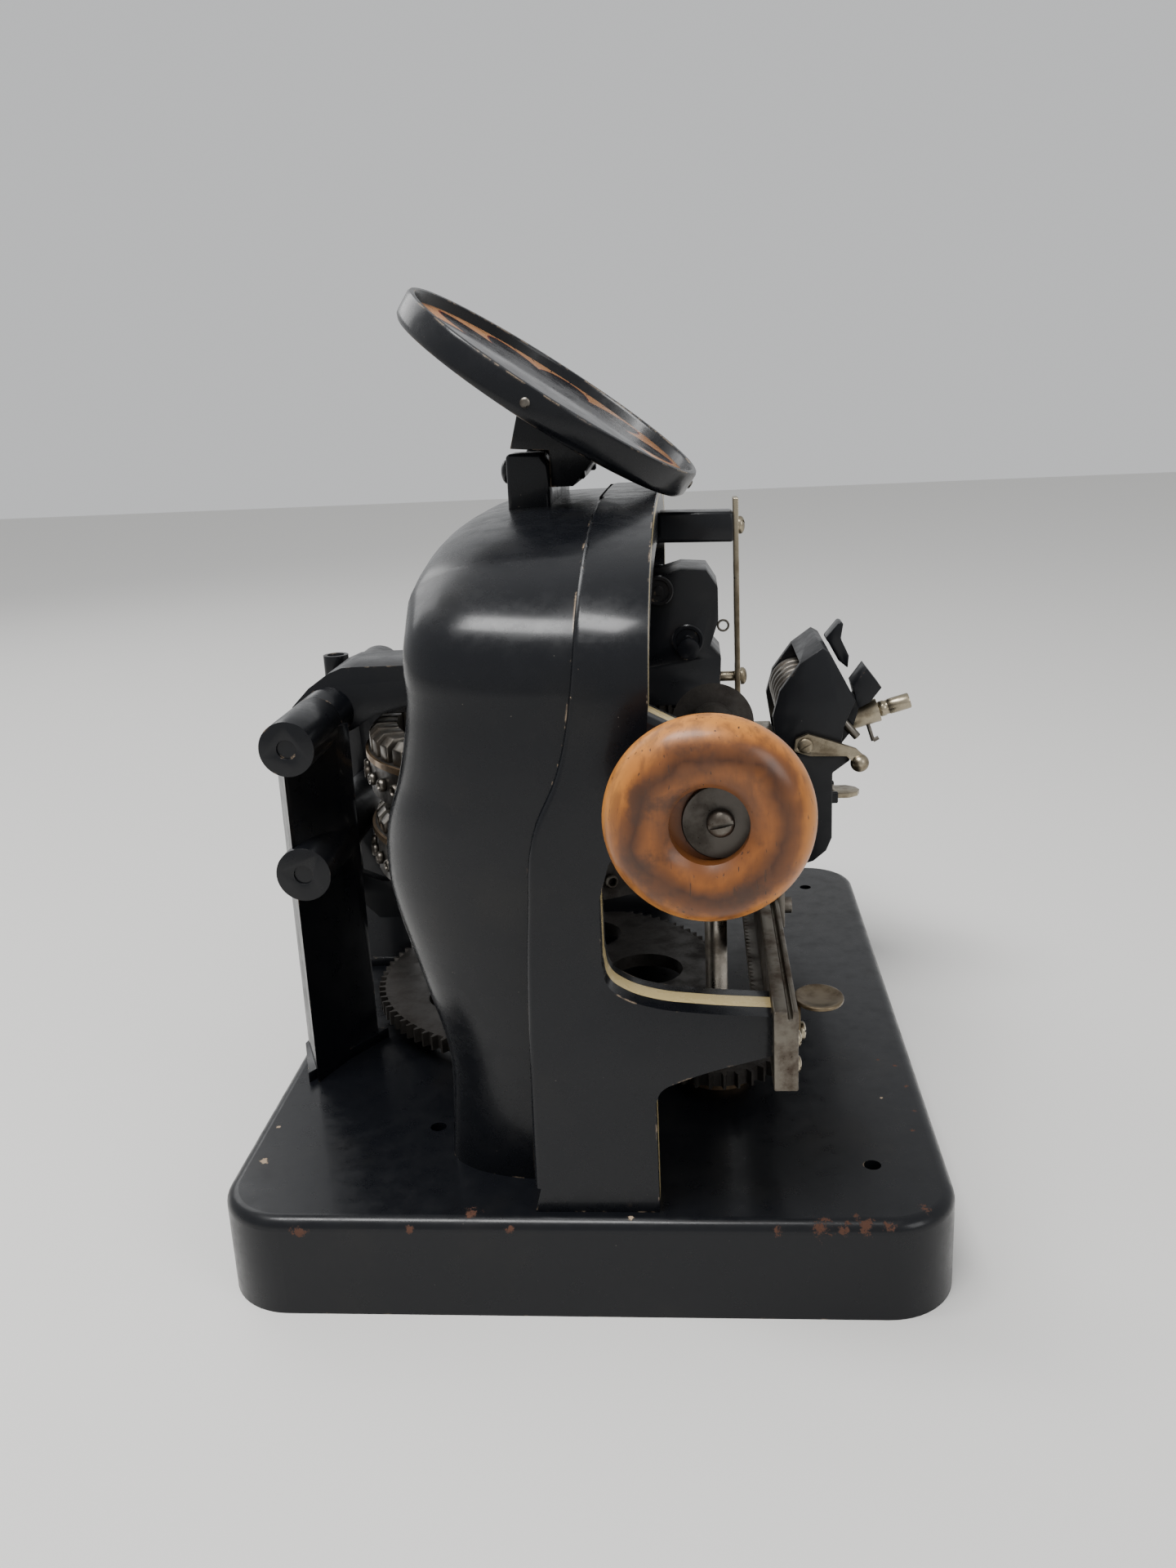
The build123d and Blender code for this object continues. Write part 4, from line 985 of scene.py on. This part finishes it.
paddleLook = {"middle": (93.5, -172), "long": 9.4, "wide": 10.9, "cutAt": 84.6, "low": 124, "high": 125.6,
              "stemTop": 123.4, "dents": ((1.6, -0.45), (2.4, -0.25))}
leafX, leafY = paddleLook["middle"]
rim = []
for i in range(40):
    turn = math.tau * i / 40
    rim.append((max(leafX + paddleLook["long"] * math.cos(turn), paddleLook["cutAt"]),
                leafY + paddleLook["wide"] * math.sin(turn)))
leaf = plate("leaf", rim, paddleLook["low"], paddleLook["high"], "z")
useModifier(leaf, "BEVEL", width=0.55 * mm, segments=3, limit_method="ANGLE",
            angle_limit=math.radians(50))
editAll(leaf)
bpy.ops.mesh.select_all(action="DESELECT")
mesh = bmesh.from_edit_mesh(leaf.data)
top = max(mesh.faces, key=lambda face: face.calc_area() * (face.normal.z > 0.9))
top.select = True
bmesh.update_edit_mesh(leaf.data)
bpy.ops.mesh.inset(thickness=0.9 * mm)
for inward, depth in paddleLook["dents"]:
    bpy.ops.mesh.inset(thickness=inward * mm, depth=depth * mm)
done()
smooth(leaf, 50)
stem = castCopy("release_paddle", 0.3)
editAll(stem)
bpy.ops.mesh.bisect(plane_co=(0, 0, paddleLook["stemTop"] * mm), plane_no=(0, 0, 1),
                    clear_outer=True, use_fill=True)
done()
paddle = joinUp("releasePaddle", [leaf, stem])
finishPiece(paddle, "paddle", agedAndShadedPlate, "nickel", "release_paddle")
print("rail made")


# carriage

for node, width in (("carriage_saddle", 1.6), ("carriage_cheeks", 1.0), ("carriage_block", 0.9)):
    finishPiece(castCopy(node, width), "carriage", dullPaint, "japanned_iron", node)

drum = {"x": 108, "z": 184, "radius": 15.5, "low": 66.3, "high": 121.7, "ribs": 5, "ribHeight": 3}


def drumProfile():
    length, rise = drum["high"] - drum["low"], drum["ribHeight"]
    root, bore, gap = drum["radius"] - rise, 3.1, 1.2
    points = [(bore, 0), (root, 0)]
    step = length / drum["ribs"]
    for i in range(drum["ribs"]):
        for a in range(9):
            turn = math.pi * a / 8
            points.append((root + rise * math.sin(turn) ** 0.7,
                           step * i + gap + (step - 2 * gap) * (1 - math.cos(turn)) / 2))
    return points + [(root, length), (bore, length)]


drumPiece = turned("feedDrum", drumProfile(), 64)
smooth(drumPiece, 50)
stand(drumPiece, (drum["x"], drum["low"], drum["z"]), (0, 1, 0))
finishPiece(drumPiece, "drum", darkSteel, "dark_steel", "ribbed_drum")

tubeLook = {"start": (149.4, 75, 177.42), "axis": (0.96, 0, 0.28)}
tubeProfile = [(0, -8.6), (2.4, -8.6), (2.5, -8.4), (2.5, 0), (3.9, 0), (4.3, 0.5), (4.3, 3), (3.9, 3.5),
               (3.9, 5), (4.3, 5.5), (4.3, 16.3), (4.0, 16.9), (2.9, 16.9), (2.8, 16.4), (2.8, 10), (0, 9.6)]
tube = turned("tubeKnob", tubeProfile, 48)
smooth(tube, 40)
stand(tube, tubeLook["start"], tubeLook["axis"])
finishPiece(tube, "tube", nickel, "nickel", "tube_knob")
finishPiece(castCopy("tube_boss", 0.5), "carriage", nickel, "nickel", "tube_boss")
finishPiece(castCopy("carriage_rods", 0.2), "carriage", darkSteel, "nickel", "carriage_rods")

finishPiece(castCopy("ball_lever", 0.9, 3), "ball", nickel, "nickel", "ball_lever")
leverStem = roundBar("leverStem", (108, 60, 163), (108, 55.7, 163), 2.55, 0.1)
leverHead = slottedHead("leverHead", (108, 55.7, 163), (0, -1, 0), 4.2, 2.2, 0.8, 0.5)
finishPiece(joinUp("leverScrew", [leverStem, leverHead]), "carriage", nickel, "nickel", "lever_screw")
finishPiece(castCopy("clamp_lever", 1.0, 3), "clamp", partPaint, "japanned_iron", "clamp_lever")
# the tab turns between two ears, so its back is cut short and its sides are drawn in
tabLook = {"back": 123.9, "narrowed": 0.96}
fingerTab = castCopy("finger_tab", 0.5)
editAll(fingerTab)
bpy.ops.mesh.bisect(plane_co=(tabLook["back"] * mm, 0, 0), plane_no=(-1, 0, 0),
                    clear_outer=True, use_fill=True)
done()
turnOut(fingerTab)
tabMiddle = sum(corner[1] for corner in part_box("finger_tab")) / 2
for vertex in fingerTab.data.vertices:
    vertex.co.y = tabMiddle + (vertex.co.y - tabMiddle) * tabLook["narrowed"]
finishPiece(fingerTab, "tab", nickel, "nickel", "finger_tab")
finishPiece(castCopy("plate_table", 0.3), "carriage", nickel, "nickel", "plate_table")
print("carriage made")


# carried-over nodes get their finish

keptFinishes = {
    "base_slab": basePaint,
    "feed_rack": darkSteel, "beam_pin": partPaint, "lever_pin": partPaint,
    "spindle_bearing": bronze, "counter_bearing": bronze, "punch_strap": bronze, "die_strap": bronze,
    "wheel_spindle": brightSteel, "knob_shaft": brightSteel, "counter_shaft": brightSteel,
    "punch_wheel": bareIron, "die_wheel": bareIron, "spindle_gear": bareIron, "knob_mitre": bareIron,
    "counter_mitre": bareIron, "counter_pinion": bareIron,
}
for node, finish in keptFinishes.items():
    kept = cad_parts[node]
    kept.data.materials.clear()
    kept.data.materials.append(finish)


# floor, light and camera

# lamps: place, what it points at, size, power
stage = {
    "floor": (0.70, 0.69, 0.67), "floorSize": 9, "world": (0.86, 0.87, 0.88), "worldStrength": 0.78,
    "lamps": {"overhead": ((-0.35, -0.55, 1.7), (0, 0, 0.2), (1.1, 0.4), 36),
              "window": ((1.5, -1.3, 1.1), (0, 0, 0.2), (0.8, 1.0), 10),
              "back": ((-1.2, 1.2, 1.3), (0, 0, 0.2), (1.0, 1.0), 9)},
}
deselect()
bpy.ops.mesh.primitive_plane_add(size=stage["floorSize"], location=(0, 0, 0))
floor = bpy.context.object
floor.name = "floor"
floorFinish, tree, shader = newFinish("paleFloor", stage["floor"], 0.0, 0.75)
floor.data.materials.append(floorFinish)
world = bpy.data.worlds.new("studio")
bpy.context.scene.world = world
world.use_nodes = True
background = world.node_tree.nodes["Background"]
background.inputs["Color"].default_value = (*stage["world"], 1)
background.inputs["Strength"].default_value = stage["worldStrength"]
for name, (spot, aim, size, power) in stage["lamps"].items():
    light = bpy.data.lights.new(name, "AREA")
    light.shape = "RECTANGLE"
    light.size, light.size_y = size
    light.energy = power
    lamp = bpy.data.objects.new(name, light)
    bpy.context.scene.collection.objects.link(lamp)
    lamp.location = spot
    lamp.rotation_mode = "QUATERNION"
    lamp.rotation_quaternion = (Vector(aim) - Vector(spot)).to_track_quat("-Z", "Y")

view = {"place": (0.0487, -0.6271, 0.3450), "right": (0.9964, 0.0728, -0.0442),
        "ahead": (-0.0823, 0.9561, -0.2811), "lens": 29.87, "sensor": 36}
lensData = bpy.data.cameras.new("camera")
lensData.lens = view["lens"]
lensData.sensor_width = view["sensor"]
camera = bpy.data.objects.new("camera", lensData)
bpy.context.scene.collection.objects.link(camera)
right, ahead = Vector(view["right"]).normalized(), Vector(view["ahead"]).normalized()
up = right.cross(ahead).normalized()
right = ahead.cross(up).normalized()
turn = Matrix((right, up, -ahead)).transposed()  # its columns are the camera's own axes
camera.matrix_world = Matrix.Translation(view["place"]) @ turn.to_4x4()
bpy.context.scene.camera = camera

print("scene ready")
